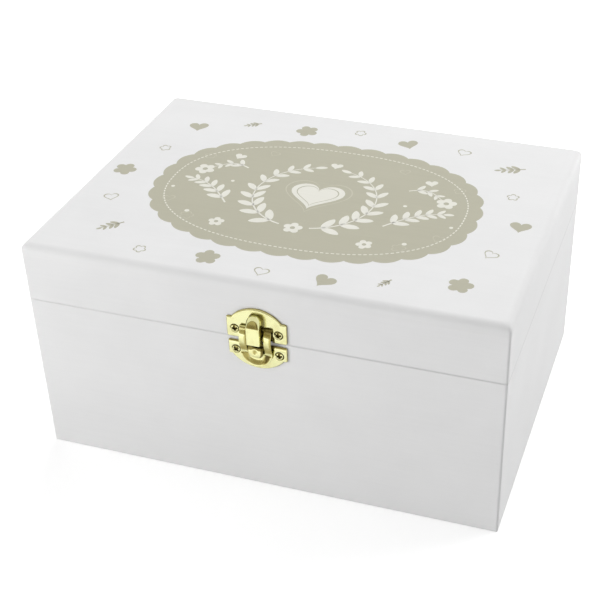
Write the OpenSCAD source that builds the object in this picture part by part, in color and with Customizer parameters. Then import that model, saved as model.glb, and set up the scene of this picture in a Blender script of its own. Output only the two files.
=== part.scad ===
// Keepsake box: painted wooden walls and lid, two brass butt hinges at the back
// and a brass toggle catch at the front.
// Millimetres. The origin is the centre of the underside, +X is to the right,
// +Z is up, and the catch is on the -Y side. The lid is modelled closed.

/* [Box] */
// Width of the box, left to right
box_w = 290; // [240:1:340]
// Depth of the box, front to back
box_d = 214; // [170:1:260]
// Height of the base, up to the seam
base_h = 108; // [80:1:140]
// Height of the lid, above the seam
lid_h = 38; // [32:1:60]
// Thickness of the walls of the base and the lid
wall_t = 9; // [8.5:0.5:14]
// Thickness of the bottom panel
bottom_t = 5; // [3:0.5:8]
// How far the bottom panel reaches into the walls
bottom_rebate = 4.5; // [2:0.5:6]
// Thickness of the lid's top panel
top_t = 8; // [7:0.5:12]

/* [Edges] */
// Radius of the upright corners
corner_r = 1.5; // [0.5:0.1:3]
// Radius round the top of the lid
top_round_r = 4.5; // [2:0.5:6]
// Radius of the eased edges at the seam
seam_round_r = 0.6; // [0.2:0.1:0.8]
// Radius round the foot of the base
foot_round_r = 0.5; // [0.2:0.1:1.5]

/* [Hinges] */
// Distance between the middles of the two hinges
hinge_spread = 170; // [120:1:200]
// Length of a hinge along its pin
hinge_l = 30; // [26:1:40]
// How far a leaf reaches onto the rim
leaf_w = 7; // [6:0.1:7.5]
// Thickness of a leaf
leaf_t = 1; // [0.8:0.05:1.3]
// Outer radius of the knuckles
knuckle_r = 2; // [1.7:0.1:2.5]
// Radius of the hinge pin
hinge_pin_r = 0.8; // [0.6:0.05:1]
// Number of knuckles of one hinge, shared by its two leaves
knuckle_count = 5; // [3:2:7]
// Distance from a hinge screw to the end of its leaf
hinge_screw_edge = 5.5; // [4:0.5:8]

/* [Catch plates] */
// Distance of the catch from the box's middle, to the right
catch_x = 0.9; // [-5:0.1:5]
// Half width of the upper plate
upper_half_w = 18.15; // [17.2:0.05:20]
// Height of the upper plate's lower edge above the seam
upper_low = 0.5; // [0.3:0.1:1]
// Height of the top of the upper plate's ears
upper_ear = 14; // [12.5:0.1:15]
// Height of the top of the upper plate's arch
upper_arch = 21.4; // [20.5:0.1:23]
// Radius of the upper plate's arch
upper_arch_r = 18.8; // [17.5:0.1:20]
// Half width of the lower plate
lower_half_w = 17.8; // [17.2:0.05:20]
// Depth of the lower plate's upper edge below the seam
lower_low = 1.8; // [1.2:0.1:2]
// Depth of the end of the lower plate's ears
lower_ear = 11.6; // [11.2:0.1:13]
// Depth of the end of the lower plate's arch
lower_arch = 19; // [18:0.1:21]
// Radius of the lower plate's arch
lower_arch_r = 20.3; // [19:0.1:22]
// Height that the plates stand out of the wood
plate_h = 1.5; // [1.3:0.05:1.6]
// Width and height of the bevel round the plates
plate_bevel = 0.8; // [0.3:0.05:1]
// Width of the long slope along the lower plate's upper edge
lower_slope = 2.3; // [1.2:0.1:2.6]
// Thickness of the plates' sheet
sheet_t = 0.8; // [0.6:0.05:0.9]
// Half width of the upper plate's window
window_half_w = 9.6; // [9.5:0.05:10]
// Height of the window's top
window_top = 10.4; // [10.3:0.1:11]
// Radius of the window's upper corners
window_r = 1.2; // [0.8:0.1:1.4]

/* [Toggle lever] */
// Distance of the lever's pin from the wood
lever_pin_out = 3.4; // [3.2:0.05:3.6]
// Height of the lever's pin above the seam
lever_pin_up = 4; // [3.8:0.05:4.2]
// Radius of the lever's pin
lever_pin_r = 0.7; // [0.5:0.05:0.8]
// Half width of the lever
lever_half_w = 4.6; // [4.2:0.05:4.65]
// Distance of the lever's flat face from the wood, at its heel
lever_face_out = 7.9; // [7.5:0.05:8]
// Height of the lever's heel
lever_heel = 1.1; // [1:0.05:1.5]
// How much nearer to the wood the flat face is at its shoulder than at its heel
lever_fall = 0.3; // [0:0.05:0.5]
// Height of the shoulder where the nose starts
lever_shoulder = 12.1; // [11.5:0.1:12.6]
// Height of the nose's end
lever_tip = 17.9; // [17.2:0.1:18.9]
// Distance of the middle of the nose's round from the wood
nose_out = 3.6; // [3.3:0.1:4]
// Radius of the nose's round
nose_r = 1.6; // [1.2:0.1:2]
// Radius of the edge between the nose and the plate
tip_r = 0.5; // [0.4:0.05:0.6]
// Radius of the round edges beside the lever's flat face
lever_edge_r = 0.6; // [0.3:0.05:0.75]
// Depth of the finger scoop in the nose
scoop_depth = 0.7; // [0.3:0.05:0.9]
// Width of the rim beside the finger scoop
scoop_rim = 0.75; // [0.5:0.05:1.2]
// Height of the finger scoop's round end
scoop_top = 16.4; // [15.5:0.1:16.8]

/* [Toggle loop] */
// Distance of the loop's pin from the wood
loop_pin_out = 2.2; // [2.1:0.05:2.3]
// Height of the loop's pin above the seam
loop_pin_up = 9; // [8.9:0.05:9.05]
// Radius of the loop's pin
loop_pin_r = 0.55; // [0.4:0.05:0.6]
// Inner half width between the loop's straps
strap_in = 5.55; // [5.5:0.05:6]
// Outer half width over the loop's straps
strap_out = 9.1; // [8:0.05:9.3]
// Thickness of the loop's sheet
loop_t = 0.9; // [0.7:0.05:0.95]
// Distance of the straps' middle from the wood, where they run straight
strap_run = 3.6; // [3.5:0.05:3.7]
// Depth below the seam of the middle of the loop's dished end
dish_down = 6.4; // [6.2:0.05:6.8]
// Radius of the loop's dished end
dish_r = 9.25; // [9:0.05:9.45]
// Thickness of the dished end's floor
dish_floor_t = 0.7; // [0.6:0.05:0.8]
// Distance of the dished end's floor from the wood
dish_floor_out = 1.9; // [1.85:0.05:2]
// Width of the dished end's raised rim
dish_rim_w = 2.9; // [2.4:0.1:3.2]
// Depth below the seam of the loop's catching edge
catch_edge = 7.35; // [7.25:0.05:7.6]
// Radius of the corners of the loop's opening
opening_r = 1.5; // [0.8:0.1:2]

/* [Hook] */
// Half width of the hook
hook_half_w = 4.25; // [3.5:0.05:5]
// Thickness of the hook's sheet
hook_t = 0.7; // [0.6:0.02:0.76]
// Depth below the seam of the hook's free end
hook_end = 9.1; // [8.8:0.05:9.1]
// Radius of the hook's lower corners
hook_corner_r = 3.2; // [2:0.1:3.4]
// Diameter of the dimple in the hook
hook_dimple_d = 3.2; // [1.5:0.1:4]
// Radius of the ball that presses the dimple
hook_ball_r = 4; // [3:0.5:8]

/* [Screws] */
// Radius of a catch screw's head
screw_head_r = 2.2; // [1.9:0.05:2.4]
// Height of a catch screw's domed head above its rim
screw_dome_h = 0.5; // [0.2:0.05:0.7]
// Depth of a catch screw's rim below the face of its plate
screw_sink = 0.35; // [0.1:0.05:0.5]
// Radius of a catch screw's shank
screw_shank_r = 1.1; // [0.8:0.05:1.3]
// Length of a catch screw below its plate
screw_l = 6.5; // [5:0.5:7.5]
// Distance of the catch screws from the catch's middle
catch_screw_x = 13.3; // [13:0.05:13.8]
// Height of the upper plate's screws above the seam
upper_screw_up = 5.85; // [5:0.05:8]
// Depth of the lower plate's screws below the seam
lower_screw_down = 8.5; // [7.5:0.05:8.6]
// Radius of a hinge screw's head
hinge_screw_head_r = 1.7; // [1.4:0.05:2]
// Radius of a hinge screw's shank
hinge_screw_shank_r = 0.85; // [0.6:0.05:1]
// Length of a hinge screw
hinge_screw_l = 9; // [7:0.5:11]

/* [Hidden] */
$fn = 48;

// clearances
panel_fit = 0.1;      // round the bottom panel in its rebate
mortise_fit = 0.15;   // round a hinge leaf in the wood
pin_fit = 0.05;       // round a pin in its eye
screw_fit = 0.05;     // round a screw in the wood or metal
knuckle_gap = 0.15;   // between neighbouring knuckles
lever_gap = 0.35;     // between the lever's nose and the plate
lug_gap = 0.15;       // between the lever and a lug, and a lug and a strap
back_gap = 0.3;       // between the knuckles and the box's back
cut = 1;              // how far a cutting shape passes a face

// colours
paint = [0.94, 0.94, 0.93];
brass = [0.86, 0.82, 0.5];

top_z = base_h + lid_h;
panel_z = top_z - top_t;
hinge_y = box_d / 2 + back_gap + knuckle_r;
knuckle_l = (hinge_l - (knuckle_count - 1) * knuckle_gap) / knuckle_count;
hinge_screw_y = box_d / 2 - leaf_w / 2;
lug_in = lever_half_w + lug_gap;
lug_out = strap_in - lug_gap;
lug_r = 1.6;          // round end of a lug
eye_r = 1.2;          // round the loop's pin, in a strap's end
slot_w_share = 0.34;  // width of a cross slot, as a share of the head's radius
slot_l_share = 1.3;   // length of a cross slot, likewise
slot_d_share = 0.75;  // depth of a cross slot, as a share of the head's cone
point_share = 0.2;    // radius of a screw's point, as a share of its shank's
ear_overlap = 3;      // how far the arch reaches into the ears, in bevels
far = 12;             // further out than any part of the catch
opening_inset = 0.25; // the loop's opening inside its straps
dish_above = 0.4;     // how far the dish reaches above its middle

// ---------------------------------------------------------------- shapes

// A rectangle with four round corners.
module rounded_square(w, d, r) {
    square([w - 2 * r, d], center = true);
    square([w, d - 2 * r], center = true);
    for (x = [-1, 1], y = [-1, 1])
        translate([x * (w / 2 - r), y * (d / 2 - r)]) circle(r);
}

// An upright rectangle from z0 to z1, with its own radius at the foot and the top.
module upright_profile(w, z0, z1, r_low, r_high) {
    translate([-w / 2, z0 + r_low]) square([w, z1 - z0 - r_low - r_high]);
    translate([-w / 2 + r_low, z0]) square([w - 2 * r_low, r_low * 2]);
    translate([-w / 2 + r_high, z1 - 2 * r_high]) square([w - 2 * r_high, 2 * r_high]);
    for (x = [-1, 1]) {
        translate([x * (w / 2 - r_low), z0 + r_low]) circle(r_low);
        translate([x * (w / 2 - r_high), z1 - r_high]) circle(r_high);
    }
}

// A block with rounded upright corners and rounded edges at its foot and top.
module eased_block(z0, z1, r_low, r_high) {
    intersection() {
        translate([0, 0, z0]) linear_extrude(z1 - z0) rounded_square(box_w, box_d, corner_r);
        rotate([90, 0, 0]) linear_extrude(box_d + cut, center = true)
            upright_profile(box_w, z0, z1, r_low, r_high);
        rotate([90, 0, 90]) linear_extrude(box_w + cut, center = true)
            upright_profile(box_d, z0, z1, r_low, r_high);
    }
}

module base_block() eased_block(0, base_h, foot_round_r, seam_round_r);
module lid_block() eased_block(base_h, top_z, seam_round_r, top_round_r);

// The space of one wall: the front and back run the full width, the sides fit between.
module front_slab(z0, z1) {
    translate([-box_w / 2 - cut, -box_d / 2 - cut, z0])
        cube([box_w + 2 * cut, wall_t + cut, z1 - z0]);
}
module side_slab(z0, z1) {
    translate([-box_w / 2 - cut, -box_d / 2 + wall_t, z0])
        cube([wall_t + cut, box_d - 2 * wall_t, z1 - z0]);
}

// The rebate in the foot of the walls that holds the bottom panel.
module bottom_space(fit) {
    edge = wall_t - bottom_rebate + fit;
    translate([-box_w / 2 + edge, -box_d / 2 + edge, -cut])
        cube([box_w - 2 * edge, box_d - 2 * edge, bottom_t + cut]);
}

// Puts children at the catch: x to the right, y up from the seam, z out of the wood.
module at_catch() translate([catch_x, -box_d / 2, base_h]) rotate([90, 0, 0]) children();

// Extrudes a side view of the catch, drawn as [out, up], across the catch.
module across(w) rotate([0, -90, 0]) linear_extrude(w, center = true) children();

// A unit step from one point to another, and the same turned a quarter to the left.
function step(a, b) = (b - a) / norm(b - a);
function left(v) = [-v[1], v[0]];

// A path whose inner corners are eased by quadratic curves that reach a little way along
// each side.
function eased_path(path, reach, n = 3) = concat([path[0]],
    [for (i = [1 : len(path) - 2], k = [0 : n])
        let (p = path[i],
            a = p + reach * step(p, path[i - 1]),
            b = p + reach * step(p, path[i + 1]),
            u = k / n)
            (1 - u) * (1 - u) * a + 2 * u * (1 - u) * p + u * u * b],
    [path[len(path) - 1]]);

// The path shifted sideways by d, with mitred corners.
function shifted(path, d) = [for (i = [0 : len(path) - 1])
    let (before = step(path[max(i - 1, 0)], path[max(i, 1)]),
        after = step(path[min(i, len(path) - 2)], path[min(i + 1, len(path) - 1)]))
        path[i] + d * (left(before) + left(after)) / (1 + before * after)];

function reversed(path) = [for (i = [len(path) - 1 : -1 : 0]) path[i]];

// A strip of bent sheet of one thickness along a path.
module strip(path, t, reach) {
    middle = eased_path(path, reach);
    polygon(concat(shifted(middle, t / 2), reversed(shifted(middle, -t / 2))));
}

// ---------------------------------------------------------------- screws

// A cross-headed screw along z, its head's rim at z = 0 and its point below.
module cross_screw(head_r, shank_r, length, dome_h) {
    cone_h = head_r - shank_r;
    dome_r = dome_h > 0 ? (head_r * head_r + dome_h * dome_h) / (2 * dome_h) : 0;
    slot_w = head_r * slot_w_share;
    slot_l = head_r * slot_l_share;
    slot_d = cone_h * slot_d_share;
    difference() {
        union() {
            translate([0, 0, -cone_h]) cylinder(h = cone_h, r1 = shank_r, r2 = head_r);
            translate([0, 0, -length + shank_r]) cylinder(h = length - shank_r - cone_h, r = shank_r);
            translate([0, 0, -length]) cylinder(h = shank_r, r1 = shank_r * point_share, r2 = shank_r);
            if (dome_h > 0)
                intersection() {
                    translate([0, 0, dome_h - dome_r]) sphere(dome_r);
                    cylinder(h = dome_h + cut, r = head_r);
                }
        }
        for (a = [0, 90])
            rotate(a) translate([-slot_l / 2, -slot_w / 2, -slot_d]) cube([slot_l, slot_w, head_r * 2]);
    }
}

// The cone that a screw's head seats in, with its clearance hole below.
module screw_seat(head_r, shank_r, depth) {
    cone_h = head_r - shank_r;
    translate([0, 0, -cone_h - screw_fit])
        cylinder(h = cone_h + cut, r1 = shank_r, r2 = head_r + cut + screw_fit);
    translate([0, 0, -depth]) cylinder(h = depth, r = shank_r + screw_fit);
}

module catch_screw() {
    translate([0, 0, plate_h - screw_sink])
        cross_screw(screw_head_r, screw_shank_r, screw_l + plate_h - screw_sink, screw_dome_h);
}
module hinge_screw() cross_screw(hinge_screw_head_r, hinge_screw_shank_r, hinge_screw_l, 0);

// Places of the screws of one catch plate.
module at_catch_screws(up) for (x = [-1, 1]) translate([x * catch_screw_x, up, 0]) children();

// Holes in the wood for one plate's screws, in the catch's frame.
module catch_pilots(up) {
    at_catch_screws(up) translate([0, 0, -screw_l - screw_fit])
        cylinder(h = screw_l + cut, r = screw_shank_r + screw_fit);
}

// ---------------------------------------------------------------- hinges

module at_hinge(side) translate([side * hinge_spread / 2, 0, 0]) children();
module at_hinge_screws() {
    for (x = [-1, 1])
        translate([x * (hinge_l / 2 - hinge_screw_edge), hinge_screw_y, 0]) children();
}

// The shallow pocket for one leaf; up is 1 in the lid and -1 in the base.
module mortise(side, up) {
    at_hinge(side) {
        pocket_z = base_h - (up < 0 ? leaf_t : 0);
        translate([-hinge_l / 2 - mortise_fit, box_d / 2 - leaf_w - mortise_fit, pocket_z])
            cube([hinge_l + 2 * mortise_fit, leaf_w + mortise_fit + cut, leaf_t]);
        at_hinge_screws() translate([0, 0, base_h + (up > 0 ? 0 : -hinge_screw_l - screw_fit)])
            cylinder(h = hinge_screw_l + screw_fit, r = hinge_screw_shank_r + screw_fit);
    }
}

// One leaf with its share of the knuckles: the base has the first, third and so on.
module hinge_leaf(side, up) {
    first = up < 0 ? 0 : 1;
    leaf_z = base_h - (up < 0 ? leaf_t : 0);
    at_hinge(side) difference() {
        union() {
            translate([-hinge_l / 2, box_d / 2 - leaf_w, leaf_z]) cube([hinge_l, leaf_w, leaf_t]);
            for (i = [first : 2 : knuckle_count - 1]) {
                knuckle_x = -hinge_l / 2 + i * (knuckle_l + knuckle_gap);
                translate([knuckle_x, hinge_y, base_h]) rotate([0, 90, 0])
                    cylinder(h = knuckle_l, r = knuckle_r);
                translate([knuckle_x, box_d / 2 - cut, leaf_z])
                    cube([knuckle_l, back_gap + knuckle_r + cut, leaf_t]);
            }
        }
        translate([-hinge_l / 2 - cut, hinge_y, base_h]) rotate([0, 90, 0])
            cylinder(h = hinge_l + 2 * cut, r = hinge_pin_r + pin_fit);
        at_hinge_screws() translate([0, 0, base_h]) rotate([up > 0 ? 180 : 0, 0, 0])
            screw_seat(hinge_screw_head_r, hinge_screw_shank_r, leaf_t + cut);
    }
}

module hinge_pin(side) {
    at_hinge(side) translate([-hinge_l / 2, hinge_y, base_h]) rotate([0, 90, 0])
        cylinder(h = hinge_l, r = hinge_pin_r);
}

module hinge_screws(up) {
    for (side = [-1, 1]) at_hinge(side) at_hinge_screws()
        translate([0, 0, base_h]) rotate([up > 0 ? 180 : 0, 0, 0]) hinge_screw();
}

module left_hinge_base_leaf() color(brass) hinge_leaf(-1, -1);
module left_hinge_lid_leaf() color(brass) hinge_leaf(-1, 1);
module left_hinge_pin() color(brass) hinge_pin(-1);
module right_hinge_base_leaf() color(brass) hinge_leaf(1, -1);
module right_hinge_lid_leaf() color(brass) hinge_leaf(1, 1);
module right_hinge_pin() color(brass) hinge_pin(1);
module hinge_screws_base() color(brass) hinge_screws(-1);
module hinge_screws_lid() color(brass) hinge_screws(1);

// ---------------------------------------------------------------- woodwork

module front_wall() {
    color(paint) difference() {
        intersection() {
            base_block();
            front_slab(0, base_h);
        }
        bottom_space(0);
        at_catch() catch_pilots(-lower_screw_down);
    }
}

module back_wall() {
    color(paint) difference() {
        intersection() {
            base_block();
            mirror([0, 1, 0]) front_slab(0, base_h);
        }
        bottom_space(0);
        for (side = [-1, 1]) mortise(side, -1);
    }
}

module left_wall() {
    color(paint) difference() {
        intersection() {
            base_block();
            side_slab(0, base_h);
        }
        bottom_space(0);
    }
}

module right_wall() mirror([1, 0, 0]) left_wall();

module bottom_panel() {
    color(paint) intersection() {
        bottom_space(panel_fit);
        translate([-box_w / 2, -box_d / 2, 0]) cube([box_w, box_d, base_h]);
    }
}

module lid_front_rail() {
    color(paint) difference() {
        intersection() {
            lid_block();
            front_slab(base_h, panel_z);
        }
        at_catch() catch_pilots(upper_screw_up);
    }
}

module lid_back_rail() {
    color(paint) difference() {
        intersection() {
            lid_block();
            mirror([0, 1, 0]) front_slab(base_h, panel_z);
        }
        for (side = [-1, 1]) mortise(side, 1);
    }
}

module lid_left_rail() {
    color(paint) intersection() {
        lid_block();
        side_slab(base_h, panel_z);
    }
}

module lid_right_rail() mirror([1, 0, 0]) lid_left_rail();

module lid_top_panel() {
    color(paint) intersection() {
        lid_block();
        translate([-box_w / 2 - cut, -box_d / 2 - cut, panel_z])
            cube([box_w + 2 * cut, box_d + 2 * cut, top_t + cut]);
    }
}

// ---------------------------------------------------------------- catch plates

// A bevelled block from y0 to y1, whose edge at y0 has a bevel or a longer slope.
module ear_block(half_w, y0, y1, h, bevel, slope) {
    intersection() {
        rotate([-90, 0, 0]) translate([0, 0, y0]) linear_extrude(y1 - y0)
            polygon([[-half_w, 0], [-half_w, bevel - h], [bevel - half_w, -h],
                [half_w - bevel, -h], [half_w, bevel - h], [half_w, 0]]);
        across(2 * half_w + cut)
            polygon([[0, y0], [0, y1], [h - bevel, y1], [h, y1 - bevel], [h, y0 + slope],
                [h - bevel, y0]]);
    }
}

// The round end of a plate, centred on the arch and cut off at a height.
module arch_disc(r, h, bevel) {
    rotate_extrude() polygon([[0, 0], [r, 0], [r, h - bevel], [r - bevel, h], [0, h]]);
}

// A plate drawn upright from its straight edge, made smaller all round by inset.
module plate_form(half_w, low, ear, arch, arch_r, slope, inset, h) {
    bevel = plate_bevel;
    ear_block(half_w - inset, low + inset, ear - inset, h, bevel, slope);
    intersection() {
        translate([0, arch - arch_r, 0]) arch_disc(arch_r - inset, h, bevel);
        translate([-half_w, ear - ear_overlap * bevel - inset, 0]) cube([2 * half_w, arch, h]);
    }
}

module plate_shell(half_w, low, ear, arch, arch_r, slope, screw_up) {
    difference() {
        plate_form(half_w, low, ear, arch, arch_r, slope, 0, plate_h);
        translate([0, 0, -cut])
            plate_form(half_w, low, ear, arch, arch_r, slope, sheet_t, plate_h - sheet_t + cut);
    }
    // the dimpled seats of the screws
    at_catch_screws(screw_up) cylinder(h = plate_h - sheet_t / 2, r = screw_head_r + sheet_t);
}

module window_outline() {
    translate([-window_half_w, -cut]) square([2 * window_half_w, window_top - window_r + cut]);
    translate([-window_half_w + window_r, 0]) square([2 * (window_half_w - window_r), window_top]);
    for (x = [-1, 1])
        translate([x * (window_half_w - window_r), window_top - window_r]) circle(window_r);
}

// A foot under the loop's strap and a lug beside the lever, bent out of the plate's window.
module lever_lug() {
    foot_low = lever_pin_up - lug_r;
    translate([lug_in, foot_low, 0]) cube([window_half_w + sheet_t - lug_in, 2 * lug_r, sheet_t]);
    translate([(lug_in + lug_out) / 2, 0, 0]) across(lug_out - lug_in) {
        translate([0, foot_low]) square([lever_pin_out, 2 * lug_r]);
        translate([lever_pin_out, lever_pin_up]) circle(lug_r);
    }
}

module catch_plate() {
    color(brass) at_catch() difference() {
        union() {
            difference() {
                plate_shell(upper_half_w, upper_low, upper_ear, upper_arch, upper_arch_r,
                    plate_bevel, upper_screw_up);
                translate([0, 0, -cut]) linear_extrude(plate_h + 2 * cut) window_outline();
            }
            lever_lug();
            mirror([1, 0, 0]) lever_lug();
        }
        at_catch_screws(upper_screw_up) translate([0, 0, plate_h - screw_sink])
            screw_seat(screw_head_r, screw_shank_r, plate_h + cut);
        pin_hole(lever_pin_out, lever_pin_up, lever_pin_r);
    }
}

// The hook's side view as [out, up], from its root in the plate to its free end.
hook_path = [
    [0.2, -2.5], [2.6, -2.55], [3.3, -3.2], [3.75, -4.5], [4.1, -6.3], [4.9, -8],
    [5.3, hook_t / 2 - hook_end]
];
hook_dimple_at = hook_path[4];
hook_ease = 0.3;

// The hook's front view, with round lower corners.
module hook_front() {
    straight = hook_half_w - hook_corner_r;
    translate([-hook_half_w, hook_corner_r - hook_end]) square([2 * hook_half_w, hook_end]);
    translate([-straight, -hook_end]) square([2 * straight, hook_end]);
    for (x = [-1, 1]) translate([x * straight, hook_corner_r - hook_end]) circle(hook_corner_r);
}

module hook() {
    ball_out = sqrt(hook_ball_r * hook_ball_r - hook_dimple_d * hook_dimple_d / 4);
    difference() {
        intersection() {
            across(2 * hook_half_w + cut) strip(hook_path, hook_t, hook_ease);
            linear_extrude(far) hook_front();
        }
        // the pressed dimple
        translate([0, hook_dimple_at[1], hook_dimple_at[0] + hook_t / 2 + ball_out])
            sphere(hook_ball_r, $fn = 96);
    }
}

module strike_plate() {
    color(brass) at_catch() difference() {
        union() {
            mirror([0, 1, 0])
                plate_shell(lower_half_w, lower_low, lower_ear, lower_arch, lower_arch_r,
                    lower_slope, lower_screw_down);
            hook();
        }
        at_catch_screws(-lower_screw_down) translate([0, 0, plate_h - screw_sink])
            screw_seat(screw_head_r, screw_shank_r, plate_h + cut);
    }
}

module catch_screws() {
    color(brass) at_catch() at_catch_screws(upper_screw_up) catch_screw();
}

module strike_screws() {
    color(brass) at_catch() at_catch_screws(-lower_screw_down) catch_screw();
}

// ---------------------------------------------------------------- toggle

module lever_pin() {
    color(brass) at_catch() translate([0, lever_pin_up, lever_pin_out]) rotate([0, 90, 0])
        cylinder(h = 2 * lug_out, r = lever_pin_r, center = true);
}

module loop_pin() {
    color(brass) at_catch() translate([0, loop_pin_up, loop_pin_out]) rotate([0, 90, 0])
        cylinder(h = 2 * strap_out, r = loop_pin_r, center = true);
}

// Where a line from a point touches a circle, on the circle's left as seen from the point.
function touch(p, centre, r) = let (d = p - centre, a = atan2(d[1], d[0]) + acos(r / norm(d)))
    centre + r * [cos(a), sin(a)];

// Points of the lever's side view, as [out, up].
shoulder = [lever_face_out - lever_fall, lever_shoulder];
nose_centre = [nose_out, lever_tip - nose_r];
nose_start = touch(shoulder, nose_centre, nose_r);
tip_out = plate_h + lever_gap + tip_r;

// The back edge of the lever's folded sides, from beside the window's top down to the heel.
lever_back_edge = [
    [tip_out - tip_r, window_top + 0.2], [1, window_top - 1], [1.1, loop_pin_up - 1],
    [1.5, 6.5], [2.2, 3.2], [4.4, lever_heel - 0.1]
];

// The lever's side view: a flat face, a nose that slopes back to its round end, an open back.
module lever_side() {
    start = atan2(nose_start[1] - nose_centre[1], nose_start[0] - nose_centre[0]);
    nose_steps = 8;
    polygon(concat(
        [[lever_face_out, lever_heel], shoulder],
        [for (k = [0 : nose_steps])
            let (a = start + (90 - start) * k / nose_steps) nose_centre + nose_r * [cos(a), sin(a)]],
        [[tip_out, lever_tip], [tip_out - tip_r, lever_tip - tip_r]],
        lever_back_edge
    ));
    translate([tip_out, lever_tip - tip_r]) circle(tip_r);
}

// The front view, with a round end at a height.
module lever_front(half_w, top) {
    translate([-half_w, 0]) square([2 * half_w, top - half_w]);
    translate([0, top - half_w]) circle(half_w);
}

// The space inside the folded sheet, which stays one sheet below the scoop.
module lever_hollow() {
    top = lever_tip - nose_r;
    half_w = lever_half_w - sheet_t;
    intersection() {
        across(2 * half_w) polygon([
            [-cut, -cut], [lever_face_out - sheet_t, -cut],
            shoulder - [sheet_t, scoop_depth], nose_start - [sheet_t + scoop_depth, nose_r],
            [tip_out, top], [-cut, top]
        ]);
        translate([0, 0, -cut]) linear_extrude(far) lever_front(half_w, lever_tip - sheet_t);
    }
}

// The finger scoop: a round trough along the nose's slope, inside its rim.
module scoop() {
    slope = atan2(shoulder[0] - nose_start[0], nose_start[1] - shoulder[1]);
    half_w = lever_half_w - scoop_rim;
    trough_r = (half_w * half_w + scoop_depth * scoop_depth) / (2 * scoop_depth);
    intersection() {
        translate([0, shoulder[1], shoulder[0]]) rotate([-slope, 0, 0])
            translate([0, 0, trough_r - scoop_depth]) rotate([-90, 0, 0])
                cylinder(h = 2 * (lever_tip - lever_shoulder), r = trough_r, $fn = 96);
        linear_extrude(far) lever_front(half_w, scoop_top);
    }
}

// The plan, with round edges beside the flat face.
module lever_plan() {
    straight = lever_half_w - lever_edge_r;
    translate([-lever_half_w, lever_edge_r - lever_face_out])
        square([2 * lever_half_w, lever_face_out - lever_edge_r]);
    translate([-straight, -lever_face_out]) square([2 * straight, 2 * lever_edge_r]);
    for (x = [-1, 1])
        translate([x * straight, lever_edge_r - lever_face_out]) circle(lever_edge_r);
}

// A hole across the catch for a pin, at [out, up].
module pin_hole(out, up, r) {
    translate([0, up, out]) rotate([0, 90, 0])
        cylinder(h = 2 * (strap_out + cut), r = r + pin_fit, center = true);
}

module catch_lever() {
    color(brass) at_catch() difference() {
        intersection() {
            across(2 * lever_half_w) lever_side();
            linear_extrude(lever_face_out + cut) lever_front(lever_half_w, lever_tip);
            rotate([-90, 0, 0]) linear_extrude(lever_tip) lever_plan();
        }
        scoop();
        lever_hollow();
        pin_hole(lever_pin_out, lever_pin_up, lever_pin_r);
        pin_hole(loop_pin_out, loop_pin_up, loop_pin_r);
    }
}

// The straps' side view as [out, up], from the loop's pin down into the dished end.
strap_path = [
    [loop_pin_out, loop_pin_up], [strap_run - 0.5, loop_pin_up - 1.5],
    [strap_run - 0.1, loop_pin_up - 3.5], [strap_run, loop_pin_up - 6],
    [strap_run, 1.1 - dish_down], [strap_run - 0.5, -0.3 - dish_down],
    [strap_run - 1.1, -1.4 - dish_down]
];
strap_ease = 0.4;

// The dished end: a shallow bowl whose raised rim faces outwards.
module dish() {
    floor_r = dish_r - dish_rim_w;
    face_out = dish_floor_out + dish_floor_t;
    rim_top = strap_run + 0.4;
    rim_edge = 0.3;
    rim_flat = 0.6;
    rotate_extrude() polygon([
        [0, dish_floor_out], [floor_r + rim_edge, dish_floor_out],
        [dish_r - rim_edge - rim_flat, dish_floor_out + dish_floor_t + rim_edge],
        [dish_r, dish_floor_out + dish_floor_t + 2 * rim_edge],
        [dish_r, rim_top - rim_edge], [dish_r - rim_edge, rim_top], [dish_r - rim_edge - rim_flat, rim_top],
        [floor_r, face_out], [0, face_out]
    ]);
}

// The loop's opening, which the hook passes through, in the front view.
module loop_opening() {
    half_w = strap_in - opening_inset;
    straight = half_w - opening_r;
    translate([-half_w, opening_r - catch_edge]) square([2 * half_w, catch_edge]);
    translate([-straight, -catch_edge]) square([2 * straight, catch_edge]);
    for (x = [-1, 1]) translate([x * straight, opening_r - catch_edge]) circle(opening_r);
}

// The lower part of the loop: the dish below the straps, without the opening.
module loop_end() {
    intersection() {
        translate([0, -dish_down, 0]) dish();
        difference() {
            linear_extrude(far) translate([-dish_r - cut, -dish_down - dish_r - cut])
                square([2 * (dish_r + cut), dish_r + cut + dish_above]);
            translate([0, 0, -cut]) linear_extrude(far + 2 * cut) loop_opening();
        }
    }
}

module loop_strap() {
    across(strap_out - strap_in) {
        strip(strap_path, loop_t, strap_ease);
        translate([loop_pin_out, loop_pin_up]) circle(eye_r);
    }
}

module catch_loop() {
    color(brass) at_catch() difference() {
        union() {
            for (side = [-1, 1])
                translate([side * (strap_in + strap_out) / 2, 0, 0]) loop_strap();
            loop_end();
        }
        pin_hole(loop_pin_out, loop_pin_up, loop_pin_r);
    }
}

front_wall();
back_wall();
left_wall();
right_wall();
bottom_panel();
lid_front_rail();
lid_back_rail();
lid_left_rail();
lid_right_rail();
lid_top_panel();
left_hinge_base_leaf();
left_hinge_lid_leaf();
left_hinge_pin();
right_hinge_base_leaf();
right_hinge_lid_leaf();
right_hinge_pin();
hinge_screws_base();
hinge_screws_lid();
catch_plate();
catch_screws();
catch_lever();
lever_pin();
catch_loop();
loop_pin();
strike_plate();
strike_screws();
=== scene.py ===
"""The dressed keepsake box: white painted wood, a printed lid, brass hinges and a brass toggle catch.

Lengths are in millimetres, and a mesh is written in metres. The frame's own axes are used: the catch is
on the -Y side, +Z is up and z = 0 is the underside. The catch is worked out in a frame of its own, with
x to the right, "up" measured from the seam and "out" measured from the front face.
"""

import logging
import math
from dataclasses import dataclass, field, replace
from enum import Enum

import bmesh
import bpy
import numpy as np
from mathutils import Matrix, Vector
from mathutils.geometry import tessellate_polygon


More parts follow.
